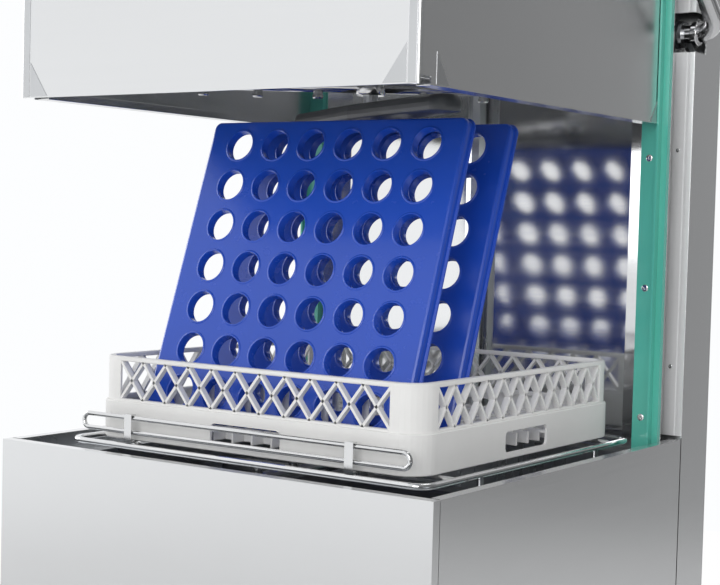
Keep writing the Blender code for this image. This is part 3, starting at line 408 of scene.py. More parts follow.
def rounded(points: Iterable[Vector], radius: float, steps: int = 8, loop: bool = False) -> list[Vector]:
    """The path through these points with each corner an arc."""
    points = [Vector(p) for p in points]
    if loop:
        points = [*points, points[0], points[1]]
    path = [points[0]]
    for before, corner, after in zip(points, points[1:], points[2:]):
        into, out = (corner - before).normalized(), (after - corner).normalized()
        half = into.angle(out) / 2
        centre = corner + (out - into).normalized() * (radius / math.cos(half))
        start = corner - into * radius * math.tan(half) - centre
        normal = into.cross(out).normalized()
        for step in range(steps + 1):
            path.append(centre + Matrix.Rotation(2 * half * step / steps, 3, normal) @ start)
    path.append(points[-1])
    return path[1:-1] if loop else path


def rounded_box(half_x: float, half_y: float, corner: float, steps: int = 8) -> list[tuple[float, float]]:
    """The outline of an oblong with round corners, about its middle."""
    outline = []
    for quarter, (sx, sy) in enumerate(((1, 1), (-1, 1), (-1, -1), (1, -1))):
        for step in range(steps + 1):
            angle = math.pi / 2 * (quarter + step / steps)
            outline.append((sx * (half_x - corner) + corner * math.cos(angle),
                            sy * (half_y - corner) + corner * math.sin(angle)))
    return outline


# --- patterns ------------------------------------------------------------------------
GEOMETRY, NUMBER, COUNT, THING, FINISH, PLACE = (
    "NodeSocketGeometry", "NodeSocketFloat", "NodeSocketInt", "NodeSocketObject", "NodeSocketMaterial",
    "NodeSocketVector",
)


class Pattern:
    """A Geometry Nodes tree with named inputs, run once to give a plain mesh."""

    def __init__(self, name: str, inputs: dict[str, str]) -> None:
        """Starts a tree with a finish input and the named ones."""
        self.tree = bpy.data.node_groups.new(name, "GeometryNodeTree")
        face = self.tree.interface
        self.ids = {}
        for label, kind in {"Base": GEOMETRY, "Finish": FINISH, **inputs}.items():
            self.ids[label] = face.new_socket(label, in_out="INPUT", socket_type=kind).identifier
        face.new_socket("Result", in_out="OUTPUT", socket_type=GEOMETRY)
        self.inlet = add_node(self.tree, "NodeGroupInput")

    def take(self, label: str) -> bpy.types.NodeSocket:
        """The socket of a named input."""
        return self.inlet.outputs[label]

    def node(self, kind: str, settings: dict | None = None, values: dict | None = None) -> bpy.types.NodeSocket:
        """Adds a node and gives its first output."""
        return add_node(self.tree, kind, settings, values).outputs[0]

    def join(self, *parts: bpy.types.NodeSocket) -> bpy.types.NodeSocket:
        """Joins several geometries."""
        node = add_node(self.tree, "GeometryNodeJoinGeometry")
        for part in parts:
            self.tree.links.new(part, node.inputs[0])
        return node.outputs[0]

    def finish(self, result: bpy.types.NodeSocket) -> None:
        """Ends the tree: instances made real, then the finish."""
        real = self.node("GeometryNodeRealizeInstances", {}, {0: result})
        done = self.node("GeometryNodeSetMaterial", {}, {"Geometry": real, "Material": self.take("Finish")})
        outlet = add_node(self.tree, "NodeGroupOutput")
        self.tree.links.new(done, outlet.inputs[0])

    def grow(self, name: str, slot: str, base: bpy.types.Object | None = None, **values: object) -> bpy.types.Object:
        """Runs the tree and keeps its result as a plain mesh.

        Args:
            name: the new object's name.
            slot: its finish.
            base: an object whose mesh goes in at Base, or none.
            values: the named inputs, with an underscore for a space.

        Returns:
            The object, in place, with no modifier.
        """
        made = base or bpy.data.objects.new(name, bpy.data.meshes.new(name))
        if base is None:
            bpy.context.scene.collection.objects.link(made)
        step = made.modifiers.new(name, "NODES")
        step.node_group = self.tree
        step[self.ids["Finish"]] = MATERIALS[slot]
        for label, value in values.items():
            step[self.ids[label.replace("_", " ")]] = value
        made.update_tag()
        bpy.context.view_layer.update()
        graph = bpy.context.evaluated_depsgraph_get()
        mesh = bpy.data.meshes.new_from_object(made.evaluated_get(graph))
        made.modifiers.clear()
        made.data = mesh
        mesh.name = made.name = name
        if not mesh.materials:
            mesh.materials.append(MATERIALS[slot])
        mesh.shade_smooth()
        mesh.set_sharp_from_angle(angle=math.radians(38.0))
        flatten(mesh)
        return made


def rows_pattern() -> Pattern:
    """Copies of one item on a grid of columns and rows, laid in the X-Y plane and then placed."""
    made = Pattern("rows_of_items", {
        "Item": THING, "Columns": COUNT, "Rows": COUNT, "Wide": NUMBER, "Deep": NUMBER, "Shift": PLACE, "Turn": PLACE,
    })
    grid = made.node("GeometryNodeMeshGrid", {}, {
        "Size X": made.take("Wide"), "Size Y": made.take("Deep"),
        "Vertices X": made.take("Columns"), "Vertices Y": made.take("Rows"),
    })
    item = add_node(made.tree, "GeometryNodeObjectInfo", {}, {"Object": made.take("Item")}).outputs["Geometry"]
    copies = made.node("GeometryNodeInstanceOnPoints", {}, {"Points": grid, "Instance": item})
    placed = made.node("GeometryNodeTransform", {}, {
        "Geometry": copies, "Translation": made.take("Shift"), "Rotation": made.take("Turn"),
    })
    made.finish(made.join(made.take("Base"), placed))
    return made


def perforated_pattern() -> Pattern:
    """A plate in the X-Y plane with a grid of round holes, each with a raised collar."""
    made = Pattern("perforated_plate", {
        "Columns": COUNT, "Rows": COUNT, "Wide": NUMBER, "Deep": NUMBER, "Middle": PLACE,
        "Radius": NUMBER, "Item": THING,
    })
    grid = made.node("GeometryNodeMeshGrid", {}, {
        "Size X": made.take("Wide"), "Size Y": made.take("Deep"),
        "Vertices X": made.take("Columns"), "Vertices Y": made.take("Rows"),
    })
    spots = made.node("GeometryNodeTransform", {}, {"Geometry": grid, "Translation": made.take("Middle")})
    punch = made.node("GeometryNodeMeshCylinder", {}, {"Vertices": 32, "Radius": made.take("Radius"), "Depth": 0.02})
    punches = made.node("GeometryNodeInstanceOnPoints", {}, {"Points": spots, "Instance": punch})
    real = made.node("GeometryNodeRealizeInstances", {}, {0: punches})
    cut = made.node("GeometryNodeMeshBoolean", {"operation": "DIFFERENCE"},
                    {"Mesh 1": made.take("Base"), "Mesh 2": real})
    collar = add_node(made.tree, "GeometryNodeObjectInfo", {}, {"Object": made.take("Item")}).outputs["Geometry"]
    collars = made.node("GeometryNodeInstanceOnPoints", {}, {"Points": spots, "Instance": collar})
    made.finish(made.join(cut, collars))
    return made


def lattice_pattern() -> Pattern:
    """Four walls of crossing ribs round a square, one cross in each cell."""
    made = Pattern("crossed_ribs", {
        "Cells": COUNT, "Start": PLACE, "Step": PLACE, "Rib": PLACE, "Lean": PLACE, "Back Lean": PLACE, "Middle": PLACE,
    })
    line = made.node("GeometryNodeMeshLine", {}, {
        "Count": made.take("Cells"), "Start Location": made.take("Start"), "Offset": made.take("Step"),
    })
    rib = made.node("GeometryNodeMeshCube", {}, {"Size": made.take("Rib")})
    cross = made.join(*[made.node("GeometryNodeTransform", {}, {"Geometry": rib, "Rotation": made.take(label)})
                        for label in ("Lean", "Back Lean")])
    wall = made.node("GeometryNodeInstanceOnPoints", {}, {"Points": line, "Instance": cross})
    walls = [made.node("GeometryNodeTransform", {}, {"Geometry": wall, "Rotation": (0.0, 0.0, quarter * math.pi / 2)})
             for quarter in range(4)]
    placed = made.node("GeometryNodeTransform", {}, {"Geometry": made.join(*walls), "Translation": made.take("Middle")})
    made.finish(made.join(made.take("Base"), placed))
    return made


ROWS, PERFORATED, LATTICE = rows_pattern(), perforated_pattern(), lattice_pattern()


def carve(made: bpy.types.Object, tool: bpy.types.Object) -> None:
    """Cuts the tool from an object's mesh and removes the tool.

    Args:
        made: the object to cut.
        tool: the object whose shape is taken away.
    """
    step = made.modifiers.new("carve", "BOOLEAN")
    step.object = tool
    step.use_self = True
    graph = bpy.context.evaluated_depsgraph_get()
    made.data = bpy.data.meshes.new_from_object(made.evaluated_get(graph))
    made.modifiers.clear()
    bpy.data.objects.remove(tool)
    flatten(made.data)


def settle(made: bpy.types.Object, body: str, slot: str, *stands_for: str) -> None:
    """Rides a piece on its body, hides what it replaces, and reports it."""
    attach(made, body)
    if stands_for:
        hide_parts(*stands_for)
    LOG.info("%s rides on %s, %d faces", made.name, body, len(made.data.polygons))


# --- sub-assemblies ------------------------------------------------------------------
@dataclass
class CupTray:
    """A shallow gloss tray of round cup holes that leans back on the rack's pegs."""

    node: str
    width: float = 0.400
    length: float = 0.407
    depth: float = 0.015
    wall: float = 0.003
    corner: float = 0.010
    flange: float = 0.0030
    lean: float = math.radians(19.0)
    columns: int = 6
    rows: int = 7
    pitch_x: float = 0.0590
    pitch_z: float = 0.0565
    top_margin: float = 0.0345
    hole: float = 0.0205
    collar: float = 0.0014

    def shell(self) -> bpy.types.Object:
        """The pan, lying face down in the X-Y plane, with its foot edge on X."""
        wall = self.wall
        steps = [
            (0.0035, 0.0), (0.0010, 0.0010), (0.0, 0.0035), (0.0, self.depth - 0.003),
            (-self.flange, self.depth - 0.0022), (-self.flange, self.depth), (wall, self.depth),
            (wall + 0.0002, wall + 0.003), (wall + 0.0030, wall),
        ]
        bm = bmesh.new()
        rings = []
        for inset, height in steps:
            corner = max(0.004, self.corner - inset)
            outline = rounded_box(self.width / 2 - inset, self.length / 2 - inset, corner, 7)
            rings.append([Vector((x, y + self.length / 2, height)) for x, y in outline])
        loft(bm, rings)
        return make_object("tray_shell", bm, "blue_plastic")

    def cup_collar(self) -> bpy.types.Object:
        """A rounded lip in front of a hole and the short sleeve behind it, about the origin."""
        bm = bmesh.new()
        inner, thick, lip = self.hole - 0.0002, self.collar, self.wall / 2
        outline = [(inner, self.depth * 0.66), (inner, -lip), (inner + thick * 0.3, -lip - 0.0009),
                   (inner + thick, -lip - 0.0011), (inner + thick * 1.8, -lip - 0.0006), (inner + thick * 2.2, -lip),
                   (inner + thick, 0.0), (inner + thick, self.depth * 0.66)]
        rings = []
        for step in range(36):
            angle = 2 * math.pi * step / 36
            rings.append([Vector((r * math.cos(angle), r * math.sin(angle), z)) for r, z in outline])
        loft(bm, rings, around=True)
        return make_object("cup_collar", bm, "blue_plastic")

    def build(self) -> bpy.types.Object:
        """Makes the tray, perforates it and leans it where its node is."""
        deep = self.pitch_z * (self.rows - 1)
        collar = self.cup_collar()
        made = PERFORATED.grow(
            f"{self.node}_moulding", "blue_plastic", self.shell(), Columns=self.columns, Rows=self.rows,
            Wide=self.pitch_x * (self.columns - 1), Deep=deep, Radius=self.hole, Item=collar,
            Middle=(0.0, self.length - self.top_margin - deep / 2, self.wall / 2),
        )
        bpy.data.objects.remove(collar)
        low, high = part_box(self.node)
        made.data.transform(Matrix(((1, 0, 0, 0), (0, 0, 1, 0), (0, 1, 0, 0), (0, 0, 0, 1))))
        made.data.flip_normals()
        made.data.transform(Matrix.Rotation(-self.lean, 4, "X"))
        base = low.z + math.sin(self.lean) * self.depth
        made.data.transform(Matrix.Translation(((low.x + high.x) / 2, low.y, base)))
        settle(made, "rack", "blue_plastic", self.node)
        return made


@dataclass
class DishRack:
    """A square moulded rack: a proud lower band, walls of crossed ribs and a floor of pegs."""

    size: float = 0.500
    height: float = 0.105
    band: float = 0.048
    step: float = 0.0025
    wall: float = 0.0035
    corner: float = 0.034
    rail: float = 0.006
    cells: int = 11
    rib: float = 0.0034
    rib_depth: float = 0.0080
    post: float = 0.040
    floor: float = 0.026
    peg_pitch: float = 0.0607
    peg_height: float = 0.062

    def hoop(self, bm: bmesh.types.BMesh, half: float, low: float, high: float, thick: float) -> None:
        """A square hoop with round corners and eased edges, from low to high."""
        ease = 0.0012
        rings = []
        for inset, z in ((ease, low), (0.0, low + ease), (0.0, high - ease), (ease, high),
                         (thick - ease / 2, high), (thick, high - ease), (thick, low + ease), (thick - ease / 2, low)):
            outline = rounded_box(half - inset, half - inset, self.corner - inset)
            rings.append([Vector((x, y + MIDDLE_Y, z)) for x, y in outline])
        loft(bm, rings, around=True)

    def corner_posts(self, bm: bmesh.types.BMesh, half: float, low: float, high: float) -> None:
        """The plain upright stretch round each corner, with a stiffening rib at each end."""
        reach = half - self.post
        for sx in (-1, 1):
            for sy in (-1, 1):
                outer = [(half, reach)]
                for step in range(9):
                    angle = math.pi / 2 * step / 8
                    centre = half - self.corner
                    outer.append((centre + self.corner * math.cos(angle), centre + self.corner * math.sin(angle)))
                outer.append((reach, half))
                thin = self.corner - self.wall
                inner = [(reach, half - self.wall)]
                for step in range(8, -1, -1):
                    angle = math.pi / 2 * step / 8
                    centre = half - self.corner
                    inner.append((centre + thin * math.cos(angle), centre + thin * math.sin(angle)))
                inner.append((half - self.wall, reach))
                outline = outer + inner
                rings = [[Vector((sx * x, sy * y + MIDDLE_Y, z)) for x, y in outline] for z in (low, high)]
                loft(bm, rings)

    def frame(self, base: float) -> bpy.types.Object:
        """The band, the rails and the corner posts in one mesh, with the hand-holds cut through."""
        bm = bmesh.new()
        half, upper = self.size / 2, self.size / 2 - self.step
        top = base + self.height
        self.hoop(bm, half, base, base + self.band, self.wall)
        self.hoop(bm, half - 0.0003, base + self.band - 0.0035, base + self.band - 0.0002, self.rib_depth + 0.002)
        self.hoop(bm, upper, top - self.rail, top, self.rib_depth + 0.001)
        self.hoop(bm, upper, base + self.band - 0.001, base + self.band + 0.003, self.rib_depth)
        self.corner_posts(bm, upper, base + self.band, top - self.rail / 2)
        for low in (base + 0.0015, base + self.floor - 0.004):
            self.hoop(bm, half - 0.002, low, low + 0.003, 0.013)
        made = make_object("rack_frame", bm, "pale_plastic")
        cutter = bmesh.new()
        hold, deep = 0.054, 0.030
        for sign in (-1, 1):
            for low, high in (((-hold, sign * half - deep), (hold, sign * half + deep)),
                              ((sign * half - deep, -hold), (sign * half + deep, hold))):
                bar(cutter, Vector((low[0], low[1] + MIDDLE_Y, base + 0.0075)),
                    Vector((high[0], high[1] + MIDDLE_Y, base + 0.0340)), 0.006)
        carve(made, make_object("hand_hold_cutter", cutter, "pale_plastic"))
        return made

    def floor_bars(self, base: float) -> bpy.types.Object:
        """The grid of thin upright bars that the trays and glasses stand on."""
        bm = bmesh.new()
        reach = self.size / 2 - 0.014
        low, high = base + 0.010, base + self.floor
        for step in range(-7, 8):
            spot = self.peg_pitch / 2 * step
            bar(bm, Vector((spot - 0.0014, MIDDLE_Y - reach, low)), Vector((spot + 0.0014, MIDDLE_Y + reach, high)))
            bar(bm, Vector((-reach, MIDDLE_Y + spot - 0.0014, low)), Vector((reach, MIDDLE_Y + spot + 0.0014, high)))
        return make_object("rack_floor", bm, "pale_plastic")

    def peg(self) -> bpy.types.Object:
        """One tapered peg with a round tip, at the origin."""
        bm = bmesh.new()
        tall = self.peg_height
        profile = [(0.0052, -0.002), (0.0050, 0.004), (0.0038, tall - 0.004), (0.0030, tall - 0.001), (0.0012, tall)]
        lathe(bm, profile, Vector((0, 0, 0)), Vector((0, 0, 1)), 12)
        return make_object("peg", bm, "pale_plastic")

    def build(self) -> None:
        """Makes the frame, the ribbed walls, the floor and the pegs."""
        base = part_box("dish_rack")[0].z
        settle(self.frame(base), "rack", "pale_plastic", "dish_rack")
        upper = self.size / 2 - self.step
        low, high = base + self.band + 0.003, base + self.height - self.rail
        reach = upper - self.post
        pitch = 2 * reach / self.cells
        lean = math.atan2(high - low, pitch)
        long = math.hypot(high - low, pitch) + self.rib
        walls = LATTICE.grow(
            "rack_lattice", "pale_plastic", Cells=self.cells, Step=(pitch, 0.0, 0.0),
            Start=(-reach + pitch / 2, -upper + self.rib_depth / 2 + 0.0006, (low + high) / 2),
            Rib=(long, self.rib_depth, self.rib), Lean=(0.0, lean, 0.0), Back_Lean=(0.0, -lean, 0.0),
            Middle=(0.0, MIDDLE_Y, 0.0),
        )
        settle(walls, "rack", "pale_plastic")
        settle(self.floor_bars(base), "rack", "pale_plastic")
        peg = self.peg()
        tray, spacing = CupTray("front_tray"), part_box("back_tray")[0].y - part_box("front_tray")[0].y
        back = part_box("front_tray")[0].y + tray.depth / math.cos(tray.lean) + self.peg_height * math.tan(tray.lean)
        rows = ROWS.grow(
            "rack_pegs", "pale_plastic", Item=peg, Columns=7, Rows=2, Wide=6 * self.peg_pitch, Deep=spacing,
            Shift=(0.0, back + 0.0042 + spacing / 2, base + self.floor), Turn=(0.0, 0.0, 0.0),
        )
        bpy.data.objects.remove(peg)
        settle(rows, "rack", "pale_plastic")


@dataclass
class WireWork:
    """The rack guide and the fence in polished wire, with the fence's flat clips left as they are."""

    guide: float = 0.004
    fence: float = 0.003

    def build(self) -> None:
        """Sweeps both wires round the places of their nodes."""
        low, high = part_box("rack_fence")
        y = (low.y + high.y) / 2
        wire = self.fence
        corners = [Vector((x, y, z)) for x, z in ((low.x + wire, low.z + wire), (high.x - wire, low.z + wire),
                                                  (high.x - wire, high.z - wire), (low.x + wire, high.z - wire))]
        bm = bmesh.new()
        sweep(bm, rounded(corners, (high.z - low.z) / 2 - wire - 1e-4, 10, loop=True), wire, 14, loop=True)
        settle(make_object("rack_fence_wire", bm, "polished_wire"), "cabinet", "polished_wire", "rack_fence")
        low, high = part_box("rack_guide")
        wire = self.guide
        level, foot = high.z - wire, low.z
        left, right, front, back = low.x + wire, high.x - wire, low.y + wire, high.y - wire
        bm = bmesh.new()
        corners = [Vector((x, y, level)) for x, y in ((left, front), (right, front), (right, back), (left, back))]
        sweep(bm, rounded(corners, 0.020, 10, loop=True), wire, 14, loop=True)
        for offset in (-0.205, 0.205):
            y = MIDDLE_Y + offset
            sweep(bm, [Vector((left, y, level)), Vector((right, y, level))], wire, 14)
        for x in (left, right):
            for offset in (-0.150, 0.150):
                y = MIDDLE_Y + offset
                sweep(bm, [Vector((x, y, level)), Vector((x, y, foot))], wire, 14)
                lathe(bm, [(0.002, 0.0), (0.009, 0.0), (0.009, 0.0012), (0.006, 0.003), (0.002, 0.003)],
                      Vector((x, y, foot)), Vector((0, 0, 1)), 20)
        settle(make_object("rack_guide_wire", bm, "polished_wire"), "cabinet", "polished_wire", "rack_guide")


@dataclass
class SprayArms:
    """Two pairs of turning arms: a flat moulded wash arm and a round steel rinse arm on each hub."""

    reach: float = 0.235
    thick: float = 0.020
    tube: float = 0.008
    rinse_bearing: float = math.radians(35.0)
    wash_bearing: float = math.radians(149.0)

    def wash_arm(self, node: str, body: str, bearing: float, up: int) -> None:
        """A paddle with eased edges, a raised rib along it and slotted nozzles."""
        low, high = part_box(node)
        half_hub, half_tip = 0.034, 0.021
        outline = []
        for sign in (1, -1):
            outline.append((0.0, -sign * half_hub))
            for step in range(13):
                angle = math.radians(-90 + 15 * step)
                outline.append((sign * (self.reach - half_tip + half_tip * math.cos(angle)),
                                sign * half_tip * math.sin(angle)))
        bm = bmesh.new()
        rings = []
        for shrink, rise in ((0.90, 0.0), (0.97, 0.0015), (1.0, 0.006), (1.0, 0.011), (0.93, 0.017), (0.80, 0.020)):
            turn = Matrix.Rotation(bearing, 3, "Z")
            inset = (1 - shrink) * half_tip
            ring = []
            for x, y in outline:
                spot = Vector((x - math.copysign(inset, x) if abs(x) > inset else x, y * shrink, 0.0))
                ring.append(turn @ spot + Vector((0.0, MIDDLE_Y, low.z + rise)))
            rings.append(ring)
        loft(bm, rings)
        face = low.z if up < 0 else high.z
        for sign in (-1, 1):
            for spot in (0.075, 0.120, 0.165, 0.210):
                centre = Matrix.Rotation(bearing, 3, "Z") @ Vector((sign * spot, 0.006 * sign, 0.0))
                centre += Vector((0.0, MIDDLE_Y, face - up * 0.0005))
                lathe(bm, [(0.0062, -0.001), (0.0062, 0.0003), (0.0045, 0.0008), (0.0038, -0.0006)],
                      centre, Vector((0, 0, up)), 16)
        settle(make_object(f"{node}_moulding", bm, "dark_plastic"), body, "dark_plastic", node)

    def rinse_arm(self, node: str, body: str, bearing: float, up: int) -> None:
        """A tube with closed ends, a turned hub and stub nozzles facing the rack."""
        low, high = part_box(node)
        level = low.z + 0.017 if up < 0 else high.z - 0.017
        level = round(level, 6)
        way = Matrix.Rotation(bearing, 3, "Z") @ Vector((1, 0, 0))
        centre = Vector((0.0, MIDDLE_Y, level))
        bm = bmesh.new()
        tube = self.tube
        for sign in (-1, 1):
            profile = [(tube, 0.014), (tube, self.reach - 0.003), (tube - 0.001, self.reach - 0.0008),
                       (tube - 0.003, self.reach)]
            lathe(bm, profile, centre, way * sign, 24)
            for spot in (0.070, 0.150, 0.222):
                stub = centre + way * sign * spot
                lathe(bm, [(0.0062, 0.0), (0.0062, 0.011), (0.0072, 0.0115), (0.0072, 0.0150),
                           (0.0060, 0.0165), (0.0030, 0.0165)], stub, Vector((0, 0, up)), 20)
        lathe(bm, [(0.0112, -0.011), (0.0185, -0.011), (0.0200, -0.009), (0.0200, 0.009), (0.0185, 0.011),
                   (0.0112, 0.011)], centre, Vector((0, 0, 1)), 28)
        settle(make_object(f"{node}_tube", bm, "polished_tube"), body, "polished_tube", node)

    def build(self) -> None:
        """Makes both pairs."""
        self.wash_arm("upper_wash_arm", "upper_wash", self.wash_bearing, -1)
        self.rinse_arm("upper_rinse_arm", "upper_rinse", self.rinse_bearing, -1)
        self.wash_arm("lower_wash_arm", "lower_wash", 0.0, 1)
        self.rinse_arm("lower_rinse_arm", "lower_rinse", math.pi / 2, 1)


@dataclass
class Hood:
    """The lifting hood in folded sheet: round front corners, folded lips, seams and dressed welds."""

    sheet: float = 0.002
    bend: float = 0.004
    lip: float = 0.022
    seam: float = 0.012
    rear_wall: float = 0.105
    notch: float = 0.009
    notch_depth: float = 0.022
    lip_stop: float = 0.005

    def outline(self, inset: float) -> list[tuple[float, float]]:
        """The open U of the front and the sides, from the back of one side to the back of the other."""
        low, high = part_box("hood_shell")
        half = 0.297 - inset
        front, back = low.y + inset, high.y
        bend = self.bend - inset
        points = [(-half, back)]
        for sign, first in ((-1, 180), (1, 270)):
            for step in range(7):
                angle = math.radians(first + 90 * step / 6)
                points.append((sign * (half - bend) + bend * math.cos(angle), front + bend + bend * math.sin(angle)))
        points.append((half, back))
        return points

    def build(self) -> None:
        """Makes the shell, its rails, its lips, its corner strips and its gussets."""
        low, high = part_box("hood_shell")
        bm = bmesh.new()
        wrap = self.outline(0.0) + list(reversed(self.outline(self.sheet)))
        loft(bm, [[Vector((x, y, z)) for x, y in wrap] for z in (low.z, high.z - self.sheet / 2)])
        cap = self.outline(0.0)
        loft(bm, [[Vector((x, y, z)) for x, y in cap] for z in (high.z - self.sheet, high.z)])
        half = 0.297
        bar(bm, Vector((-half, high.y - self.sheet, high.z - self.rear_wall)), Vector((half, high.y, high.z - 0.001)))
        start = low.y + 0.027
        for side in Side:
            inner, outer = sorted((side.value * (half - self.lip), side.value * (half - self.sheet / 2)))
            bar(bm, Vector((inner, start, low.z)), Vector((outer, high.y - self.lip_stop, low.z + self.sheet)))
            bar(bm, Vector(sorted_x(side, half - self.lip, half - self.lip + 0.0015, start, low.z)),
                Vector(sorted_x(side, half - self.lip, half - self.lip + 0.0015, high.y - self.lip_stop,
                                   low.z + 0.010, True)))
            self.rail(bm, side)
        shell = make_object("hood_sheet", bm, "brushed_panel", 30.0)
        tool = bmesh.new()
        bar(tool, Vector((-half - 0.01, low.y + self.sheet, low.z - 0.01)),
            Vector((half + 0.01, low.y + self.notch_depth, low.z + self.notch)))
        carve(shell, make_object("hood_notch", tool, "brushed_panel"))
        settle(shell, "hood", "brushed_panel", "hood_shell")
        self.trim(low, high)

    def rail(self, bm: bmesh.types.BMesh, side: Side) -> None:
        """The welded channel that the handle's roller lifts."""
        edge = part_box("hood_shell")
        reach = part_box(f"lift_roller_{side.label}")
        middle = (reach[0].z + reach[1].z) / 2
        near, far = reach[0].y - 0.085, reach[1].y + 0.012
        root, lip = 0.296, edge[1].x
        for low, high in ((middle - 0.022, middle - 0.020), (middle + 0.020, middle + 0.022)):
            a, b = sorted((side.value * root, side.value * lip))
            bar(bm, Vector((a, near, low)), Vector((b, far, high)))
        a, b = sorted((side.value * root, side.value * (root + 0.003)))
        bar(bm, Vector((a, near, middle - 0.022)), Vector((b, far, middle + 0.022)))

    def trim(self, low: Vector, high: Vector) -> None:
        """The seam strips on the front's upright edges and the ground weld patches at the corners."""
        bm = bmesh.new()
        half, proud = 0.297, 0.0005
        for side in Side:
            a, b = sorted((side.value * (half - 0.0155), side.value * (half - 0.0045)))
            bar(bm, Vector((a, low.y - proud, low.z + 0.001)), Vector((b, low.y + 0.0005, high.z - 0.003)), 0.0003)
            wide, tall = 0.030, 0.042
            corner = Vector((side.value * (half - 0.017), low.y, low.z + 0.0015))
            flat = [corner, corner + Vector((-side.value * wide, 0, 0)), corner + Vector((0, 0, tall))]
            loft(bm, [[p + Vector((0, -proud, 0)) for p in flat], [p + Vector((0, 0.0006, 0)) for p in flat]])
            edge = side.value * half
            for y, way in ((low.y + 0.032, 1), (high.y - 0.004, -1)):
                flat = [Vector((edge, y, low.z + 0.0015)), Vector((edge, y + way * 0.026, low.z + 0.0015)),
                        Vector((edge, y, low.z + 0.036))]
                out = Vector((side.value * proud, 0, 0))
                loft(bm, [[p + out for p in flat], [p - out for p in flat]])
        settle(make_object("hood_seams_and_welds", bm, "weld_dressing"), "hood", "brushed_panel")


def sorted_x(side: Side, near: float, far: float, y: float, z: float, high: bool = False) -> Colour:
    """A corner whose X is the lower, or the higher, end of a stretch measured outward on one side."""
    ends = sorted((side.value * near, side.value * far))
    return (ends[1 if high else 0], y, z)


@dataclass
class Handle:
    """The bent handle tube, with its axle ends and their collars."""

    tube: float = 0.0125
    half: float = 0.350
    reach: float = 0.900
    open_angle: float = math.radians(38.0)
    bend: float = 0.032
    axle_end: float = 0.284

    def build(self) -> None:
        """Sweeps the tube through its corners and adds the collar at each column."""
        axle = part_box("pivot_bush_right")
        y, z = (axle[0].y + axle[1].y) / 2, (axle[0].z + axle[1].z) / 2
        out = Vector((0.0, -self.reach * math.cos(self.open_angle), self.reach * math.sin(self.open_angle)))
        root = Vector((0.0, y, z))
        x = Vector((1.0, 0.0, 0.0))
        corners = [root - x * self.axle_end, root - x * self.half, root + out - x * self.half,
                   root + out + x * self.half, root + x * self.half, root + x * self.axle_end]
        bm = bmesh.new()
        sweep(bm, rounded(corners, self.bend, 12), self.tube, 24)
        for side in Side:
            centre = root + x * side.value * 0.3175
            lathe(bm, [(0.0126, -0.004), (0.0160, -0.004), (0.0168, -0.003), (0.0168, 0.003), (0.0160, 0.004),
                       (0.0126, 0.004)], centre, x, 28)
        settle(make_object("handle_bent_tube", bm, "polished_tube"), "handle", "polished_tube", "handle_tube")


@dataclass
class Fixings:
    """Screws on the strips and columns, and the ribbed front face of each column."""

    head: float = 0.0048
    strip_heights: tuple[float, ...] = (0.031, 0.209, 0.387, 0.565)
    cover: float = 0.0014

    def screw(self, radius: float) -> bpy.types.Object:
        """A low-headed screw with a round recess, its head facing +Z."""
        bm = bmesh.new()
        dome = [(radius, 0.0), (radius, 0.0003), (radius * 0.93, 0.0006), (radius * 0.72, 0.0008),
                (radius * 0.40, 0.0009), (radius * 0.34, 0.0005), (radius * 0.10, 0.0003)]
        lathe(bm, dome, Vector((0, 0, 0)), Vector((0, 0, 1)), 20)
        return make_object("screw", bm, "polished_wire")

    def column_face(self, side: Side) -> None:
        """The rolled cover on the column's front, with two grooves down it; its light colour and low metal are a
        painted reflection.
        """
        low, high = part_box(f"column_{side.label}")
        thick = self.cover
        start, stop = 0.2865, 0.3245
        marks = [(start, thick)]
        for groove in (0.0085, 0.0295):
            centre = start + groove
            marks += [(centre - 0.0024, thick), (centre - 0.0014, 0.0002), (centre + 0.0014, 0.0002),
                      (centre + 0.0024, thick)]
        marks.append((stop, thick))
        outline = [(side.value * x, low.y - depth) for x, depth in marks]
        outline += [(side.value * stop, low.y - 0.00005), (side.value * start, low.y - 0.00005)]
        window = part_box(f"pivot_bush_{side.label}")
        middle = (window[0].z + window[1].z) / 2
        bm = bmesh.new()
        for bottom, top in ((RIM + 0.004, middle - 0.0275), (middle + 0.0275, high.z - 0.0005)):
            loft(bm, [[Vector((x, y, z)) for x, y in outline] for z in (bottom, top)])
        settle(make_object(f"column_face_{side.label}", bm, "cover_steel", 25.0), "cabinet", "brushed_panel")

    def build(self) -> None:
        """Sets the column covers and every screw."""
        screw, small = self.screw(self.head), self.screw(0.0030)
        for side in Side:
            self.column_face(side)
            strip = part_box(f"guide_strip_{side.label}")
            face = strip[0].y + 0.011
            middle = side.value * 0.2840
            heads = ROWS.grow(
                f"strip_screws_{side.label}", "polished_wire", Item=screw, Columns=1, Rows=4, Wide=0.0,
                Deep=0.534, Shift=(middle, face, RIM + 0.298), Turn=(math.pi / 2, 0.0, 0.0),
            )
            settle(heads, "cabinet", "polished_wire")
            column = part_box(f"column_{side.label}")
            pins = ROWS.grow(
                f"column_screws_{side.label}", "polished_wire", Item=small, Columns=1, Rows=2, Wide=0.0,
                Deep=0.300, Shift=(side.value * 0.3055, column[0].y - self.cover, RIM + 0.250),
                Turn=(math.pi / 2, 0.0, 0.0),
            )
            settle(pins, "cabinet", "polished_wire")
        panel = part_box("rear_panel")
        rear = ROWS.grow(
            "rear_panel_screws", "polished_wire", Item=small, Columns=4, Rows=6, Wide=0.60,
            Deep=panel[1].z - panel[0].z - 0.06, Shift=(0.0, panel[1].y - 0.0003, (panel[0].z + panel[1].z) / 2),
            Turn=(-math.pi / 2, 0.0, 0.0),
        )
        settle(rear, "cabinet", "polished_wire")
        bpy.data.objects.remove(screw)
        bpy.data.objects.remove(small)


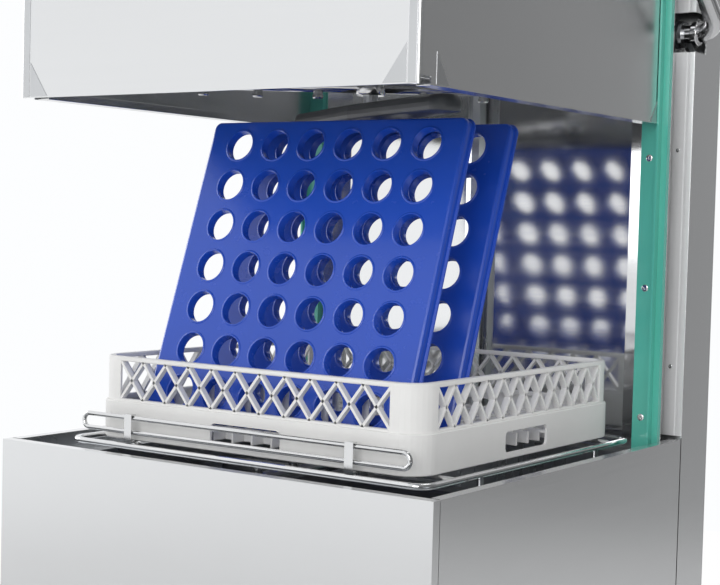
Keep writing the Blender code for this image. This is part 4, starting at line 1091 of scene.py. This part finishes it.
class Studio:
    """The floor, the backdrop's white, the lamps and the camera."""

    place = (1.1487, -1.6717, 0.2836)
    yaw = math.radians(34.70)
    pitch = math.radians(-2.496)
    roll = math.radians(1.5)
    focal_pixels = 1519.2
    frame_pixels = 720
    sensor = 36.0

    def camera(self) -> None:
        """Sets the camera at its measured place."""
        data = bpy.data.cameras.new("camera")
        data.sensor_width = self.sensor
        data.lens = self.focal_pixels * self.sensor / self.frame_pixels
        yaw, pitch, roll = self.yaw, self.pitch, self.roll
        forward = Vector((-math.sin(yaw), math.cos(yaw), 0.0))
        right = Vector((math.cos(yaw), math.sin(yaw), 0.0))
        up = Vector((0.0, 0.0, 1.0))
        ahead = forward * math.cos(pitch) + up * math.sin(pitch)
        above = up * math.cos(pitch) - forward * math.sin(pitch)
        across = right * math.cos(roll) + above * math.sin(roll)
        top = above * math.cos(roll) - right * math.sin(roll)
        turn = Matrix((across, top, -ahead)).transposed().to_4x4()
        holder = bpy.data.objects.new("camera", data)
        holder.matrix_world = Matrix.Translation(at(*self.place)) @ turn
        bpy.context.scene.collection.objects.link(holder)
        bpy.context.scene.camera = holder

    def white_to_view(self, tree: bpy.types.NodeTree) -> Wire:
        """1 where the camera or glass sees the backdrop, else 0."""
        path = add_node(tree, "ShaderNodeLightPath")
        camera = Wire(tree, path.outputs["Is Camera Ray"])
        return camera.math("MAXIMUM", camera, Wire(tree, path.outputs["Is Transmission Ray"]))

    def world(self) -> None:
        """A grey surround that the camera sees as white."""
        world = bpy.data.worlds.new("studio")
        world.use_nodes = True
        bpy.context.scene.world = world
        tree = world.node_tree
        surround = tree.nodes["Background"]
        seen = self.white_to_view(tree)
        gloss = Wire(tree, add_node(tree, "ShaderNodeLightPath").outputs["Is Glossy Ray"])
        way = add_node(tree, "ShaderNodeTexCoord").outputs["Generated"]
        parts = add_node(tree, "ShaderNodeSeparateXYZ", {}, {0: way})
        right = add_node(tree, "ShaderNodeMapRange", {"interpolation_type": "SMOOTHSTEP"}, {
            "Value": parts.outputs["X"], "From Min": -0.40, "From Max": 0.60, "To Min": 1.12, "To Max": 0.22,
        }).outputs[0]
        swell = add_node(tree, "ShaderNodeTexNoise", {}, {"Vector": way, "Scale": 1.6, "Detail": 1.0}).outputs["Fac"]
        shine = Wire(tree, right) * (Wire(tree, swell) * 0.5 + 0.72)
        plain = gloss * (shine - 0.55) + 0.55
        level = seen * (1.0 - plain) + plain
        tree.links.new(level.socket, surround.inputs["Strength"])
        surround.inputs["Color"].default_value = (0.98, 0.99, 1.0, 1.0)

    def floor(self) -> None:
        """A pale round floor with a faint tooth."""
        mix = Recipe("studio_floor")
        mix.tint((0.78, 0.78, 0.78), (0.84, 0.84, 0.84), mix.noise((3.0, 3.0, 3.0)))
        mix.fixed(Roughness=0.8)
        away = add_node(mix.tree, "ShaderNodeVectorMath", {"operation": "LENGTH"}, {0: mix.place}).outputs["Value"]
        fade = add_node(mix.tree, "ShaderNodeMapRange", {}, {
            "Value": away, "From Min": 1.0, "From Max": 2.6, "To Min": 0.80, "To Max": 1.0,
        }).outputs[0]
        seen = self.white_to_view(mix.tree) * Wire(mix.tree, fade)
        white = add_node(mix.tree, "ShaderNodeEmission", {}, {"Strength": 1.0}).outputs[0]
        both = add_node(mix.tree, "ShaderNodeMixShader", {},
                        {0: seen, 1: mix.shader.outputs[0], 2: white}).outputs[0]
        mix.tree.links.new(both, mix.tree.nodes["Material Output"].inputs["Surface"])
        MATERIALS["floor"] = mix.material
        bm = bmesh.new()
        bmesh.ops.create_circle(bm, cap_ends=True, segments=96, radius=4.0)
        made = make_object("studio_floor", bm, "floor")

    def lamp(self, name: str, place: Colour, size: float, watts: float) -> None:
        """A square soft lamp aimed at the machine's middle."""
        data = bpy.data.lights.new(name, "AREA")
        data.size = size
        data.energy = watts
        made = bpy.data.objects.new(name, data)
        made.location = place
        aim = Vector((0.0, 0.0, 1.1)) - made.location
        made.rotation_euler = aim.to_track_quat("-Z", "Y").to_euler()
        bpy.context.scene.collection.objects.link(made)

    def build(self) -> None:
        """Sets everything up."""
        self.camera()
        self.world()
        self.floor()
        self.lamp("key_lamp", (1.4, -4.2, 2.2), 2.4, 75.0)
        self.lamp("left_lamp", (-4.2, -0.6, 2.2), 2.4, 45.0)
        self.lamp("top_lamp", (0.0, 0.8, 4.4), 2.4, 40.0)
        bpy.context.scene.view_settings.view_transform = "Standard"


def dress_nodes() -> None:
    """Gives every CAD node that still shows the finish of its slot."""
    for row in frame["record"]["subparts"]:
        node = frame["nodes"][row["node"]]
        node.data.materials.clear()
        finish = "wall_steel" if node.name == "rear_wall" else row["material_slot"]
        node.data.materials.append(MATERIALS[finish])
        LOG.info("%s is finished as %s", node.name, row["material_slot"])


def main() -> None:
    """Builds the studio, then each sub-assembly in order."""
    logging.basicConfig(level=logging.INFO, format="%(message)s")
    Studio().build()
    dress_nodes()
    DishRack().build()
    for node in ("front_tray", "back_tray"):
        CupTray(node).build()
    WireWork().build()
    SprayArms().build()
    Hood().build()
    Handle().build()
    Fixings().build()


if __name__ == "__main__":
    main()
